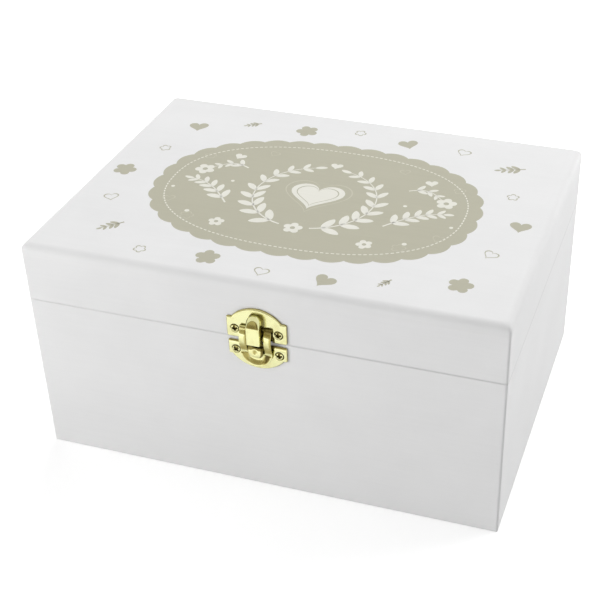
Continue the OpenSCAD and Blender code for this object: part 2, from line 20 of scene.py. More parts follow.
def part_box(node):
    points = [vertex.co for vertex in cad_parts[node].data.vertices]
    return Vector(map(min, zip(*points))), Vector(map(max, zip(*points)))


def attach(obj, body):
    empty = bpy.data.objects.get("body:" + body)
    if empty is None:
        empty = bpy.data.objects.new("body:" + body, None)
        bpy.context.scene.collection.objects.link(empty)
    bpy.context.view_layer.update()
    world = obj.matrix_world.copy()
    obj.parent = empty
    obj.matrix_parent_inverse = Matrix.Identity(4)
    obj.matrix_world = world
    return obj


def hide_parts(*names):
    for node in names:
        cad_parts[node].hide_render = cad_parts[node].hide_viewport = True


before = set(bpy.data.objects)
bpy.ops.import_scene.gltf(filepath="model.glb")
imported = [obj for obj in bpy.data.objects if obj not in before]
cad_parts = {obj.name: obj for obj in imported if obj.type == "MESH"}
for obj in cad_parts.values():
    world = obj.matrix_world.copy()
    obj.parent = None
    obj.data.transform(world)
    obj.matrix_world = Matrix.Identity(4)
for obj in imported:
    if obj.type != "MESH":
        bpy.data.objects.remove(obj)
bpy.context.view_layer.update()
MM = 0.001
# In metres: points that are nearer are one point, and a shorter edge has no length.
MERGE_GAP = 2e-7
NO_LENGTH = 1e-8
# The least length that anything is divided by.
TINY = 1e-12
log = logging.getLogger("keepsake_box")

Array = np.ndarray
Object = bpy.types.Object
Socket = bpy.types.NodeSocket
Span = tuple[float, float]
Colour = tuple[float, float, float]
Spot = tuple[float, float, float]
Number = float | Socket
Tint = Colour | Socket
WHITE: Colour = (1.0, 1.0, 1.0)


# ---------------------------------------------------------------- shapes


def smooth_step(x: Array, low: float, high: float) -> Array:
    """Goes from 0 at low to 1 at high along 3t^2 - 2t^3 and stays there. It falls if low is above high."""
    t = np.clip((x - low) / (high - low), 0.0, 1.0)
    return t * t * (3.0 - 2.0 * t)


@dataclass(frozen=True)
class Shade:
    """Painted shade and tarnishing that go from none at low to full at high, along some measure of a surface.
    """

    amount: float
    low: float
    high: float

    def at(self, measure: Array) -> Array:
        """The darkening where the measure has each of these values."""
        return self.amount * smooth_step(measure, self.low, self.high)


def turn(angle: float) -> Array:
    """A matrix that turns plane points by an angle in radians."""
    return np.array([[math.cos(angle), math.sin(angle)], [-math.sin(angle), math.cos(angle)]])


def arc(centre: Span | Array, radius: float, start: float, end: float, steps: int) -> Array:
    """steps + 1 points at equal angles, in radians, on a circle: centre + radius (cos a, sin a)."""
    angles = np.linspace(start, end, steps + 1)
    return np.array(centre) + radius * np.stack([np.cos(angles), np.sin(angles)], axis=-1)


def round_angles(count: int) -> Array:
    """Equal angles round a full circle, from 0."""
    return np.linspace(0.0, 2 * np.pi, count, endpoint=False)


def round_corners(corners: Array, radii: Array, steps: int) -> Array:
    """A closed outline whose corners are arcs that touch both of their sides.

    Each arc's middle lies on the corner's bisector, radius / sin(half the corner's angle) from the corner,
    and its points are the spherical blend of the two arms that run from that middle to the sides.

    Args:
        corners: The corners in order, (n, 2).
        radii: The radius at each corner.
        steps: How many stretches each arc has.

    Returns:
        The outline's points, n (steps + 1) of them.
    """
    back = np.roll(corners, 1, axis=0) - corners
    ahead = np.roll(corners, -1, axis=0) - corners
    back /= np.linalg.norm(back, axis=1, keepdims=True)
    ahead /= np.linalg.norm(ahead, axis=1, keepdims=True)
    half = 0.5 * np.arccos(np.clip((back * ahead).sum(1), -1.0, 1.0))[:, None]
    bisector = (back + ahead) / np.linalg.norm(back + ahead, axis=1, keepdims=True)
    radii = np.asarray(radii, float)[:, None]
    middle = corners + bisector * radii / np.sin(half)
    first = corners + back * radii / np.tan(half) - middle
    last = corners + ahead * radii / np.tan(half) - middle
    sweep = np.pi - 2.0 * half
    k = np.linspace(0.0, 1.0, steps + 1)[None, :]
    blend_first = np.sin((1.0 - k) * sweep) / np.sin(sweep)
    blend_last = np.sin(k * sweep) / np.sin(sweep)
    arms = blend_first[..., None] * first[:, None] + blend_last[..., None] * last[:, None]
    return (middle[:, None] + arms).reshape(-1, 2)


def along(path: Array, count: int, reach: float = 0.0) -> Array:
    """A path sampled at equal steps of its length, with its corners eased by a running mean.

    Args:
        path: The path's points, (n, 2).
        count: How many points are wanted.
        reach: The length of path that the running mean covers, or 0 for none.

    Returns:
        count points, the first and last of them the path's own ends.
    """
    steps = np.linalg.norm(np.diff(path, axis=0), axis=1)
    length = np.concatenate([[0.0], np.cumsum(steps)])
    where = np.linspace(0.0, length[-1], count)
    from_ends = np.minimum(where, length[-1] - where)
    samples = 9
    offsets = np.linspace(-0.5, 0.5, samples)[:, None] * np.minimum(reach, 2.0 * from_ends)
    sampled = [np.interp(where + offsets, length, path[:, axis]).mean(axis=0) for axis in (0, 1)]
    return np.stack(sampled, axis=-1)


def grid_faces(rows: int, cols: int, wrap_rows: bool = False, wrap_cols: bool = False) -> Array:
    """The four-sided faces of a grid of points numbered row by row.

    Args:
        rows: How many rows of points there are.
        cols: How many points a row has.
        wrap_rows: Whether the last row joins the first.
        wrap_cols: Whether the last point of a row joins its first.

    Returns:
        The faces' point numbers, (n, 4).
    """
    i, j = np.meshgrid(
        np.arange(rows if wrap_rows else rows - 1),
        np.arange(cols if wrap_cols else cols - 1),
        indexing="ij",
    )
    next_row, next_col = (i + 1) % rows, (j + 1) % cols
    quads = [i * cols + j, i * cols + next_col, next_row * cols + next_col, next_row * cols + j]
    return np.stack(quads, axis=-1).reshape(-1, 4)


class Surface:
    """Points and faces gathered for one piece, in millimetres, with each point's tarnishing and painted
    shade.
    """

    def __init__(self) -> None:
        """Starts with nothing gathered."""
        self.points: list[Array] = []
        self.tarnish_and_shade: list[Array] = []
        self.faces: list[list[int]] = []
        self.count = 0

    def add(self, points: Array, faces: Array, tarnish_and_shade: Array | float = 0.0) -> None:
        """Adds points and the faces that join them.

        Args:
            points: Any array whose last axis is x, y, z.
            faces: Point numbers, counted from the first of these points.
            tarnish_and_shade: How far tarnishing and painted shade darken the metal at each point, from 0 to
                1.
        """
        flat = points.reshape(-1, 3)
        self.points.append(flat)
        self.tarnish_and_shade.append(np.broadcast_to(tarnish_and_shade, points.shape[:-1]).reshape(-1))
        self.faces.extend((np.asarray(faces) + self.count).tolist())
        self.count += len(flat)

    def add_tube(self, sections: Array, tarnish_and_shade: Array | float = 0.0) -> None:
        """Joins closed sections into a closed skin, with a fan from the middle of each end.

        Args:
            sections: (n, m, 3), each row a closed section seen as round from its own middle.
            tarnish_and_shade: How far the metal is darkened, one number or one for each point.
        """
        rows, cols = sections.shape[:2]
        wear_and_shade = np.broadcast_to(tarnish_and_shade, (rows, cols))
        self.add(sections, grid_faces(rows, cols, wrap_cols=True), wear_and_shade)
        ring = np.arange(cols)
        for at in (0, -1):
            fan = np.stack([ring, (ring + 1) % cols, np.full(cols, cols)], axis=-1)
            middle = sections[at].mean(axis=0)
            self.add(np.vstack([sections[at], middle]), fan, np.append(wear_and_shade[at], wear_and_shade[at].mean()))

    def add_shell(
        self, outer: Array, inner: Array, rim_steps: int = 3,
        tarnish_and_shade: Array | float = 0.0, inner_tarnish_and_shade: float = 0.0,
    ) -> None:
        """Joins two matching skins into one closed wall, whose long rims are half round.

        A rim's point at angle a is c + cos(a) n + sin(a) |n| o, with c the middle between the skins' edges,
        n half the way from the inner edge to the outer one, and o the unit way past the edge.

        Args:
            outer: The outer skin, (rows, cols, 3).
            inner: The inner skin, with the same shape.
            rim_steps: How many points each round rim gets.
            tarnish_and_shade: How far the outer skin is darkened, one number or one for each point.
            inner_tarnish_and_shade: How far the inner skin is darkened.
        """

        def rim(edge: int, inside: int, angles: Array) -> Array:
            """Rounds one rim.

            Args:
                edge: The skins' last column on its side.
                inside: The column next to that.
                angles: Where the points lie round the rim, in radians from the outer skin.

            Returns:
                The rim's points, (rows, rim_steps, 3).
            """
            centre = 0.5 * (outer[:, edge] + inner[:, edge])[:, None]
            arm = 0.5 * (outer[:, edge] - inner[:, edge])[:, None]
            past = (outer[:, edge] - outer[:, inside] + inner[:, edge] - inner[:, inside])[:, None]
            past = past / np.maximum(np.linalg.norm(past, axis=-1, keepdims=True), TINY)
            reach = np.linalg.norm(arm, axis=-1, keepdims=True)
            return centre + np.cos(angles)[:, None] * arm + np.sin(angles)[:, None] * reach * past

        angles = np.linspace(0.0, np.pi, rim_steps + 2)[1:-1]
        loop = np.concatenate([outer, rim(-1, -2, angles), inner[:, ::-1], rim(0, 1, angles[::-1])], axis=1)
        rows, cols = loop.shape[:2]
        outer_darkening = np.broadcast_to(tarnish_and_shade, outer.shape[:2])
        inner_darkening = np.full(inner.shape[:2], inner_tarnish_and_shade)
        rims = [np.repeat(outer_darkening[:, edge, None], rim_steps, axis=1) for edge in (-1, 0)]
        wear_and_shade = np.concatenate([outer_darkening, rims[0], inner_darkening, rims[1]], axis=1)
        self.add(loop, grid_faces(rows, cols, wrap_cols=True), wear_and_shade)
        for row in (0, -1):
            self.add(loop[row], self._end_faces(outer.shape[1], rim_steps), wear_and_shade[row])

    @staticmethod
    def _end_faces(width: int, rim_steps: int) -> Array:
        """The faces that close an end of a wall: one for each step across the skins, and each rim's own.

        Args:
            width: How many points a skin has across.
            rim_steps: How many points a rim has.

        Returns:
            Faces of three or four corners, the last corner repeated where there are three.
        """
        top = np.arange(width - 1)
        low = 2 * width + rim_steps - 1 - top
        across = np.stack([top, top + 1, low - 1, low], axis=-1)
        total = 2 * width + 2 * rim_steps
        right = np.concatenate([[width - 1], width + np.arange(rim_steps), [width + rim_steps]])
        left = (right + width + rim_steps) % total
        fans = [
            [side[0], side[k], side[k + 1], side[k + 1]]
            for side in (right, left) for k in range(1, rim_steps + 1)
        ]
        return np.vstack([across, np.array(fans)])

    def add_polygon(self, loops: list[Array]) -> None:
        """Fills a flat outline and the holes in it with triangles.

        Args:
            loops: The outline first and then its holes, each (n, 3).
        """
        points = np.vstack(loops)
        triangles = tessellate_polygon([[Vector(p) for p in loop] for loop in loops])
        self.add(points, np.array(triangles))

    def piece(self, name: str, sharp: float = 32.0) -> Object:
        """Makes the object: doubles are merged, faces turned outwards and sharp edges kept sharp.

        Args:
            name: The piece's name.
            sharp: The angle between two faces, in degrees, past which their edge stays sharp.

        Returns:
            The new object, at the origin, with its place in its mesh.
        """
        mesh = bpy.data.meshes.new(name)
        faces = [list(dict.fromkeys(face)) for face in self.faces]
        mesh.from_pydata((np.vstack(self.points) * MM).tolist(), [], faces)
        wear_and_shade = np.concatenate(self.tarnish_and_shade)
        if wear_and_shade.any():
            # The attribute carries tarnishing and painted shade, which darken the brass.
            attribute = mesh.attributes.new("tarnish_and_shade", "FLOAT", "POINT")
            attribute.data.foreach_set("value", wear_and_shade.astype(np.float32))
        shell = bmesh.new()
        shell.from_mesh(mesh)
        bmesh.ops.remove_doubles(shell, verts=shell.verts, dist=MERGE_GAP)
        bmesh.ops.dissolve_degenerate(shell, edges=shell.edges, dist=NO_LENGTH)
        bmesh.ops.recalc_face_normals(shell, faces=shell.faces)
        shell.to_mesh(mesh)
        shell.free()
        mesh.shade_smooth()
        mesh.set_sharp_from_angle(angle=math.radians(sharp))
        made = bpy.data.objects.new(name, mesh)
        bpy.context.scene.collection.objects.link(made)
        return made


def wall(middle: Array, thickness: Array) -> tuple[Array, Array]:
    """The two skins of bent sheet: the middle surface moved half the thickness along its normal.

    The normal is the cross product of the surface's slopes along its rows and its columns.

    Args:
        middle: The middle surface, (rows, cols, 3).
        thickness: The sheet's thickness, one number or one for each row.

    Returns:
        The outer and inner skins.
    """
    normal = np.cross(np.gradient(middle, axis=0), np.gradient(middle, axis=1))
    normal /= np.maximum(np.linalg.norm(normal, axis=-1, keepdims=True), TINY)
    half = 0.5 * np.broadcast_to(np.asarray(thickness, float), (middle.shape[0],))[:, None, None]
    return middle + half * normal, middle - half * normal


# ---------------------------------------------------------------- finishes


class Tree:
    """Short ways to add and join the nodes of a material, a group or the world."""

    def __init__(self, tree: bpy.types.NodeTree) -> None:
        """Keeps the node tree that is added to."""
        self.tree = tree

    def add(self, kind: str, inputs: dict | None = None, **settings) -> bpy.types.Node:
        """Adds a node.

        Args:
            kind: The node's type, without its "ShaderNode" prefix.
            inputs: Its input sockets' values, or the sockets to join to them.
            settings: Its other settings.

        Returns:
            The new node.
        """
        node = self.tree.nodes.new("ShaderNode" + kind)
        for key, value in settings.items():
            setattr(node, key, value)
        for key, value in (inputs or {}).items():
            self.feed(value, node.inputs[key])
        return node

    def feed(self, value: float | tuple | Socket, socket: Socket) -> None:
        """Gives an input socket a value, or joins it to the socket that holds the value.

        Args:
            value: The value or its socket.
            socket: The input socket.
        """
        if isinstance(value, Socket):
            self.join(value, socket)
        else:
            socket.default_value = value

    def join(self, source: Socket, target: Socket) -> None:
        """Joins an output socket to an input socket."""
        self.tree.links.new(source, target)

    def end(self, shader: Socket, kind: str = "OutputMaterial") -> None:
        """Joins a shader to a new output node."""
        self.join(shader, self.add(kind).inputs["Surface"])

    def finish(self, inputs: dict, height: Socket, relief: float) -> None:
        """Ends a material with a Principled BSDF over a bump whose height of 1 is relief millimetres."""
        bump = self.add("Bump", {"Height": height, "Distance": relief * MM, "Strength": 1.0})
        self.end(self.add("BsdfPrincipled", {**inputs, "Normal": bump.outputs[0]}).outputs[0])

    def math(self, operation: str, a: Number, b: Number = 0.0, c: Number = 0.0) -> Socket:
        """The socket of a Math node's outcome, from numbers or sockets."""
        return self.add("Math", {0: a, 1: b, 2: c}, operation=operation).outputs[0]

    def blend(self, share: float, a: Number, b: Number) -> Socket:
        """The socket of a times a share plus b times the rest."""
        return self.math("MULTIPLY_ADD", b, 1.0 - share, self.math("MULTIPLY", a, share))

    def between(
        self, value: Socket, low: float, high: float,
        start: float = 0.0, end: float = 1.0, smooth: bool = False,
    ) -> Socket:
        """A number that goes from start to end as another goes from low to high, and no further.

        Args:
            value: The socket that is followed.
            low: The followed number at the start.
            high: The followed number at the end.
            start: The outcome at low and before it.
            end: The outcome at high and beyond it.
            smooth: Whether it eases in and out.

        Returns:
            The socket that holds the outcome.
        """
        inputs = {"Value": value, "From Min": low, "From Max": high, "To Min": start, "To Max": end}
        kind = "SMOOTHSTEP" if smooth else "LINEAR"
        return self.add("MapRange", inputs, interpolation_type=kind).outputs[0]

    def clamp(self, value: Socket) -> Socket:
        """A number kept between 0 and 1."""
        return self.add("Clamp", {"Value": value}).outputs[0]

    def noise(self, vector: Socket, scale: float, detail: float = 3.0, roughness: float = 0.55) -> Socket:
        """The socket of a noise pattern's value, around 0.5, with scale cells in a unit and finer layers."""
        inputs = {"Vector": vector, "Scale": scale, "Detail": detail, "Roughness": roughness}
        return self.add("TexNoise", inputs).outputs["Fac"]

    def mix(self, amount: Socket, a: Tint, b: Tint) -> Socket:
        """A colour between two.

        Args:
            amount: The socket of the second colour's share.
            a: The first colour or its socket.
            b: The second colour or its socket.

        Returns:
            The socket that holds the mixed colour.
        """
        node = self.add("Mix", data_type="RGBA")
        kinds = {"Factor": "VALUE", "A": "RGBA", "B": "RGBA"}
        for key, value in (("Factor", amount), ("A", a), ("B", b)):
            socket = next(s for s in node.inputs if s.name == key and s.type == kinds[key])
            self.feed((*value, 1.0) if isinstance(value, tuple) else value, socket)
        return next(s for s in node.outputs if s.type == "RGBA")


def new_material(name: str) -> tuple[bpy.types.Material, Tree]:
    """Makes an empty material.

    Args:
        name: The material's name.

    Returns:
        The material and its tree.
    """
    made = bpy.data.materials.new(name)
    made.use_nodes = True
    made.node_tree.nodes.clear()
    return made, Tree(made.node_tree)


def group_tree(name: str, inputs: dict[str, float | None], outputs: list[str]) -> tuple[Tree, dict, dict]:
    """Starts a node group with named sockets.

    Args:
        name: The group's name.
        inputs: Each input's name and its value, or None if it is a place.
        outputs: The outputs' names, all of them numbers.

    Returns:
        The group's tree, its inputs' sockets by name, and its output node's sockets by name.
    """
    group = bpy.data.node_groups.new(name, "ShaderNodeTree")
    for key, value in inputs.items():
        kind = "NodeSocketVector" if value is None else "NodeSocketFloat"
        socket = group.interface.new_socket(key, in_out="INPUT", socket_type=kind)
        if value is not None:
            socket.default_value = value
    for key in outputs:
        group.interface.new_socket(key, in_out="OUTPUT", socket_type="NodeSocketFloat")
    entry = group.nodes.new("NodeGroupInput")
    leave = group.nodes.new("NodeGroupOutput")
    sources = {key: entry.outputs[key] for key in inputs}
    targets = {key: leave.inputs[key] for key in outputs}
    return Tree(group), sources, targets


class SharedEffects:
    """Node groups that more than one material uses, each built once."""

    def __init__(self) -> None:
        """Builds the groups."""
        self.coat = self._paint_coat()
        self.handling = self._handling()

    @staticmethod
    def _paint_coat() -> bpy.types.NodeTree:
        """A brushed coat: fine streaks along the board, a soft mottle, and their height.

        Returns:
            The group. Its streaks run along the x of the place that it is given.
        """
        inputs = {"Place": None, "Streaks": 0.5, "Mottle": 0.5}
        tree, source, target = group_tree("paint_coat", inputs, ["Shade", "Height", "Sheen"])
        stretched = tree.add("Mapping", {"Vector": source["Place"], "Scale": (0.035, 1.0, 1.0)}).outputs[0]
        long_streak = tree.noise(stretched, 420.0, detail=4.0, roughness=0.62)
        fine_streak = tree.noise(stretched, 1500.0, detail=2.0)
        cloud = tree.noise(source["Place"], 22.0, detail=4.0, roughness=0.5)
        stipple = tree.noise(source["Place"], 1400.0, detail=2.0)
        streaks = tree.blend(0.6, long_streak, fine_streak)
        weighed = tree.math("MULTIPLY", tree.math("SUBTRACT", streaks, 0.5), source["Streaks"])
        clouded = tree.math("MULTIPLY", tree.math("SUBTRACT", cloud, 0.5), source["Mottle"])
        tree.join(tree.math("ADD", tree.math("ADD", weighed, clouded), 0.5), target["Shade"])
        tree.join(tree.blend(0.65, streaks, stipple), target["Height"])
        tree.join(tree.blend(0.4, stipple, cloud), target["Sheen"])
        return tree.tree

    @staticmethod
    def _handling() -> bpy.types.NodeTree:
        """Marks of handling on metal: hairline scratches, a cloudy bloom and small specks.

        Returns:
            The group.
        """
        inputs = {"Place": None, "Scale": 1.0}
        tree, source, target = group_tree("handling_marks", inputs, ["Bloom", "Scratches", "Height"])
        place = tree.add("VectorMath", {0: source["Place"], "Scale": source["Scale"]}, operation="SCALE")
        scaled = place.outputs["Vector"]
        bloom = tree.between(tree.noise(scaled, 160.0, detail=4.0, roughness=0.6), 0.42, 0.72)
        lines = []
        for tilt in (0.35, 1.2, 2.35):
            inputs = {"Vector": scaled, "Rotation": (0.2, tilt, 0.1), "Scale": (60.0, 2400.0, 2400.0)}
            streak = tree.noise(tree.add("Mapping", inputs).outputs[0], 1.0, detail=1.0)
            lines.append(tree.between(streak, 0.68, 0.74))
        scratches = tree.math("MAXIMUM", tree.math("MAXIMUM", lines[0], lines[1]), lines[2])
        ripple = tree.noise(scaled, 420.0, detail=2.0)
        tree.join(bloom, target["Bloom"])
        tree.join(scratches, target["Scratches"])
        tree.join(tree.math("MULTIPLY_ADD", scratches, -0.25, ripple), target["Height"])
        return tree.tree


EFFECTS = SharedEffects()


class Grain(Enum):
    """The way that a board's grain runs, as the turn that lays it along x."""

    ALONG_X = (0.0, 0.0, 0.0)
    ALONG_Y = (0.0, 0.0, math.pi / 2)


@dataclass(frozen=True)
class SeamShade:
    """Painted shade in the seam under the lid, as a mask on the paint. Its lengths are in metres.

    It is full up to one distance above and below the seam and gone at the other, and it grows from its
    least share at the left of the front to its full strength near the middle, as painted shade that deepens
    towards the right.
    """

    strength: float = 0.2
    full: float = 0.0002
    gone: float = 0.0011
    left: float = -0.13
    middle: float = 0.02
    least: float = 0.15
    lying: float = 0.98
    shadow_grey: Colour = (0.30, 0.30, 0.31)

    def amount(self, tree: Tree, place: Socket) -> Socket:
        """How far the paint is greyed by painted seam shade. Faces that lie flat in the seam have none.

        Args:
            tree: The material's tree.
            place: The Object coordinates.

        Returns:
            The amount of painted shade, from 0 to 1.
        """
        at = tree.add("SeparateXYZ", {0: place})
        facing = tree.add("SeparateXYZ", {0: tree.add("TexCoord").outputs["Normal"]})
        away = tree.math("ABSOLUTE", tree.math("SUBTRACT", at.outputs["Z"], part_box("front_wall")[1].z))
        near = tree.between(away, self.full, self.gone, 1.0, 0.0)
        # Painted shade: the darkening grows from the left of the front towards the middle.
        right = tree.between(at.outputs["X"], self.left, self.middle, self.least)
        upright = tree.math("LESS_THAN", tree.math("ABSOLUTE", facing.outputs["Z"]), self.lying)
        amount = tree.math("MULTIPLY", tree.math("MULTIPLY", near, right), upright)
        return tree.math("MULTIPLY", amount, self.strength)


@dataclass(frozen=True)
class PaintFinish:
    """Brushed paint or flat ink on wood.

    light and shade are the lightest and darkest tones, streaks and mottle say how much of the range the
    brush marks and the soft clouds take, and relief is the height of the brush marks in millimetres.
    """

    name: str
    light: Colour
    shade: Colour
    grain: Grain = Grain.ALONG_X
    streaks: float = 1.0
    mottle: float = 0.8
    roughness: Span = (0.42, 0.6)
    relief: float = 0.02
    seam_shade: SeamShade | None = None

    def material(self) -> bpy.types.Material:
        """Builds the material.

        Returns:
            A material whose patterns read Object coordinates.
        """
        made, tree = new_material(self.name)
        place = tree.add("TexCoord").outputs["Object"]
        laid = tree.add("Mapping", {"Vector": place, "Rotation": self.grain.value}).outputs[0]
        inputs = {"Place": laid, "Streaks": self.streaks, "Mottle": self.mottle}
        coat = tree.add("Group", inputs, node_tree=EFFECTS.coat)
        colour = tree.mix(coat.outputs["Shade"], self.shade, self.light)
        # Painted shade: the paint is greyed along the lid's seam.
        if self.seam_shade:
            colour = tree.mix(self.seam_shade.amount(tree, place), colour, self.seam_shade.shadow_grey)
        smooth, rough = self.roughness
        roughness = tree.math("MULTIPLY_ADD", coat.outputs["Sheen"], rough - smooth, smooth)
        inputs = {"Base Color": colour, "Roughness": roughness, "IOR": 1.45}
        tree.finish(inputs, coat.outputs["Height"], self.relief)
        return made


@dataclass(frozen=True)
class BrassFinish:
    """Polished brass plate under a little bloom and hairline scratches, darkened where a piece says so.

    The darkening is partly tarnishing and mostly painted shade, and half darkened metal is browned. How matt
    it is comes from the bloom, the scratches and the darkening, each by its own share. The scale of the marks
    is a factor, and relief is in millimetres.
    """

    name: str
    bright: Colour
    dull: Colour
    # The colours that tarnishing and painted shade darken the metal to.
    browned: Colour = (0.38, 0.325, 0.105)
    darkest_brass: Colour = (0.085, 0.062, 0.016)
    roughness: Span = (0.12, 0.34)
    marks: float = 1.0
    relief: float = 0.012
    patches: float = 900.0
    patchy: float = 0.5
    matt_bloom: float = 0.6
    matt_scratches: float = 0.5
    matt_tarnish_and_shade: float = 1.2

    def material(self) -> bpy.types.Material:
        """Builds the material.

        Returns:
            A material whose patterns read Object coordinates.
        """
        made, tree = new_material(self.name)
        place = tree.add("TexCoord").outputs["Object"]
        wear = tree.add("Group", {"Place": place, "Scale": self.marks}, node_tree=EFFECTS.handling)
        bloom, scratches = wear.outputs["Bloom"], wear.outputs["Scratches"]
        # The mesh attribute holds tarnishing and painted shade: shadows, dark reflections and shaded
        # recesses.
        tarnish_and_shade = tree.add("Attribute", attribute_name="tarnish_and_shade").outputs["Fac"]
        cloud = tree.noise(place, self.patches)
        patches = tree.math("MULTIPLY_ADD", cloud, self.patchy, 1.0 - 0.5 * self.patchy)
        dark = tree.clamp(tree.math("MULTIPLY", tarnish_and_shade, patches))
        browned = tree.clamp(tree.math("MULTIPLY", dark, 2.0))
        blackened = tree.clamp(tree.math("MULTIPLY_ADD", dark, 2.0, -1.0))
        colour = tree.mix(browned, tree.mix(bloom, self.bright, self.dull), self.browned)
        colour = tree.mix(blackened, colour, self.darkest_brass)
        smooth, rough = self.roughness
        scratched = tree.math("MULTIPLY", scratches, self.matt_scratches)
        wear_and_shade = tree.math("MULTIPLY_ADD", bloom, self.matt_bloom, scratched)
        wear_and_shade = tree.math("MULTIPLY_ADD", dark, self.matt_tarnish_and_shade, wear_and_shade)
        roughness = tree.math("MULTIPLY_ADD", wear_and_shade, rough - smooth, smooth)
        inputs = {"Base Color": colour, "Roughness": roughness, "Metallic": 1.0}
        tree.finish(inputs, wear.outputs["Height"], self.relief)
        return made


PAINT_LIGHT = (0.90, 0.90, 0.90)
PAINT_SHADE = (0.80, 0.80, 0.80)
SAGE_LIGHT = (0.515, 0.500, 0.395)
SAGE_SHADE = (0.455, 0.440, 0.340)
# Both board paints carry painted shade along the lid's seam.
BOARD_PAINT = PaintFinish(
    "painted_board", PAINT_LIGHT, PAINT_SHADE, streaks=0.5, relief=0.010, seam_shade=SeamShade(),
)
SIDE_PAINT = PaintFinish(
    "painted_side_board", PAINT_LIGHT, PAINT_SHADE, Grain.ALONG_Y,
    streaks=0.4, relief=0.007, seam_shade=SeamShade(),
)
SAGE_INK = PaintFinish("sage_ink", SAGE_LIGHT, SAGE_SHADE, streaks=0.8, mottle=0.6, relief=0.015)
CREAM_INK = PaintFinish("cream_ink", (0.86, 0.85, 0.78), (0.78, 0.77, 0.69), streaks=0.8, relief=0.015)
PALE_INK = PaintFinish("pale_sage_ink", (0.60, 0.585, 0.48), (0.54, 0.525, 0.42), streaks=0.8, relief=0.015)
PLATE_BRASS = BrassFinish("plate_brass", (0.755, 0.75, 0.415), (0.67, 0.64, 0.31), roughness=(0.13, 0.3))
TOGGLE_BRASS = BrassFinish("toggle_brass", (0.755, 0.75, 0.40), (0.67, 0.64, 0.30), roughness=(0.1, 0.26))
SCREW_BRASS = BrassFinish(
    "screw_brass", (0.76, 0.74, 0.40), (0.67, 0.64, 0.29), roughness=(0.14, 0.32), marks=1.6,
)
HINGE_BRASS = BrassFinish("hinge_brass", (0.75, 0.73, 0.37), (0.65, 0.61, 0.27), roughness=(0.16, 0.36))


class Finishes:
    """Every finish's material, built once and found by its finish."""

    def __init__(self) -> None:
        """Starts with no material built."""
        self.built: dict[str, bpy.types.Material] = {}

    def of(self, finish: PaintFinish | BrassFinish) -> bpy.types.Material:
        """Finds a finish's material, and builds it the first time.

        Args:
            finish: The finish.

        Returns:
            Its material.
        """
        if finish.name not in self.built:
            self.built[finish.name] = finish.material()
        return self.built[finish.name]

    def dress(self, thing: Object, finish: PaintFinish | BrassFinish) -> None:
        """Gives an object one finish all over.

        Args:
            thing: A new piece or a CAD node.
            finish: The finish that it gets.
        """
        if not thing.material_slots:
            thing.data.materials.append(None)
        for slot in thing.material_slots:
            slot.material = self.of(finish)

    def dress_nodes(self, names: tuple[str, ...], finish: PaintFinish | BrassFinish) -> None:
        """Gives CAD nodes one finish and reports them.

        Args:
            names: The nodes' names.
            finish: The finish that they get.
        """
        for name in names:
            self.dress(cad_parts[name], finish)
            log.info("%s: %s", name, finish.name)


FINISHES = Finishes()


def place_piece(
    made: Object,
    body: str,
    finish: PaintFinish | BrassFinish,
    stands_for: tuple[str, ...] = (),
) -> None:
    """Dresses a new piece, joins it to its body and reports it.

    Args:
        made: The new piece.
        body: The CAD body that it moves with.
        finish: Its finish.
        stands_for: The CAD nodes that it is shown in place of.
    """
    FINISHES.dress(made, finish)
    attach(made, body)
    if stands_for:
        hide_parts(*stands_for)
    log.info("%s: %d faces on %s", made.name, len(made.data.polygons), body)


# ---------------------------------------------------------------- woodwork


@dataclass
class Woodwork:
    """The painted boards of the base and the lid."""

    corner_r: float = 1.5
    corner_growth: float = 0.3
    top_round_r: float = 4.5
    flat_rim: float = 1.0
    ink_t: float = 0.1
    along_x: tuple[str, ...] = (
        "front_wall", "back_wall", "bottom_panel", "lid_front_rail", "lid_back_rail",
    )
    along_y: tuple[str, ...] = ("left_wall", "right_wall", "lid_left_rail", "lid_right_rail")

    def dress(self) -> None:
        """Paints the CAD boards and makes the lid's rounded top panel."""
        FINISHES.dress_nodes(self.along_x, BOARD_PAINT)
        FINISHES.dress_nodes(self.along_y, SIDE_PAINT)
        place_piece(self.top_panel(), "lid", BOARD_PAINT, ("lid_top_panel",))

    def top_panel(self) -> Object:
        """The lid's top: a rectangle with round corners, carried up a quarter-round edge.

        At the angle a of the edge's round, the outline lies r (1 - cos a) inside the panel's and
        r (1 - sin a) below its top, and its corners' radius grows by a share of that inset. A narrow flat
        rim follows the round, and a fan from the middle closes the flat top.

        Returns:
            The panel.
        """
        low, high = (np.array(corner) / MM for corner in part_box("lid_top_panel"))
        top = high[2] - self.ink_t
        half = 0.5 * (high - low)[:2]
        angles = np.linspace(0.0, np.pi / 2, 13)
        insets = self.top_round_r * (1 - np.cos(angles))
        insets = np.concatenate([[0.0], insets, [self.top_round_r + self.flat_rim]])
        heights = np.concatenate([[low[2]], top - self.top_round_r * (1 - np.sin(angles)), [top]])
        rings = []
        for inset, height in zip(insets, heights):
            w, d = half - inset
            corners = np.array([[-w, -d], [w, -d], [w, d], [-w, d]])
            outline = round_corners(corners, np.full(4, self.corner_r + self.corner_growth * inset), 6)
            rings.append(np.column_stack([outline, np.full(len(outline), height)]))
        surface = Surface()
        surface.add_tube(np.array(rings))
        return surface.piece("lid_panel", sharp=50.0)


# ---------------------------------------------------------------- the lid's print


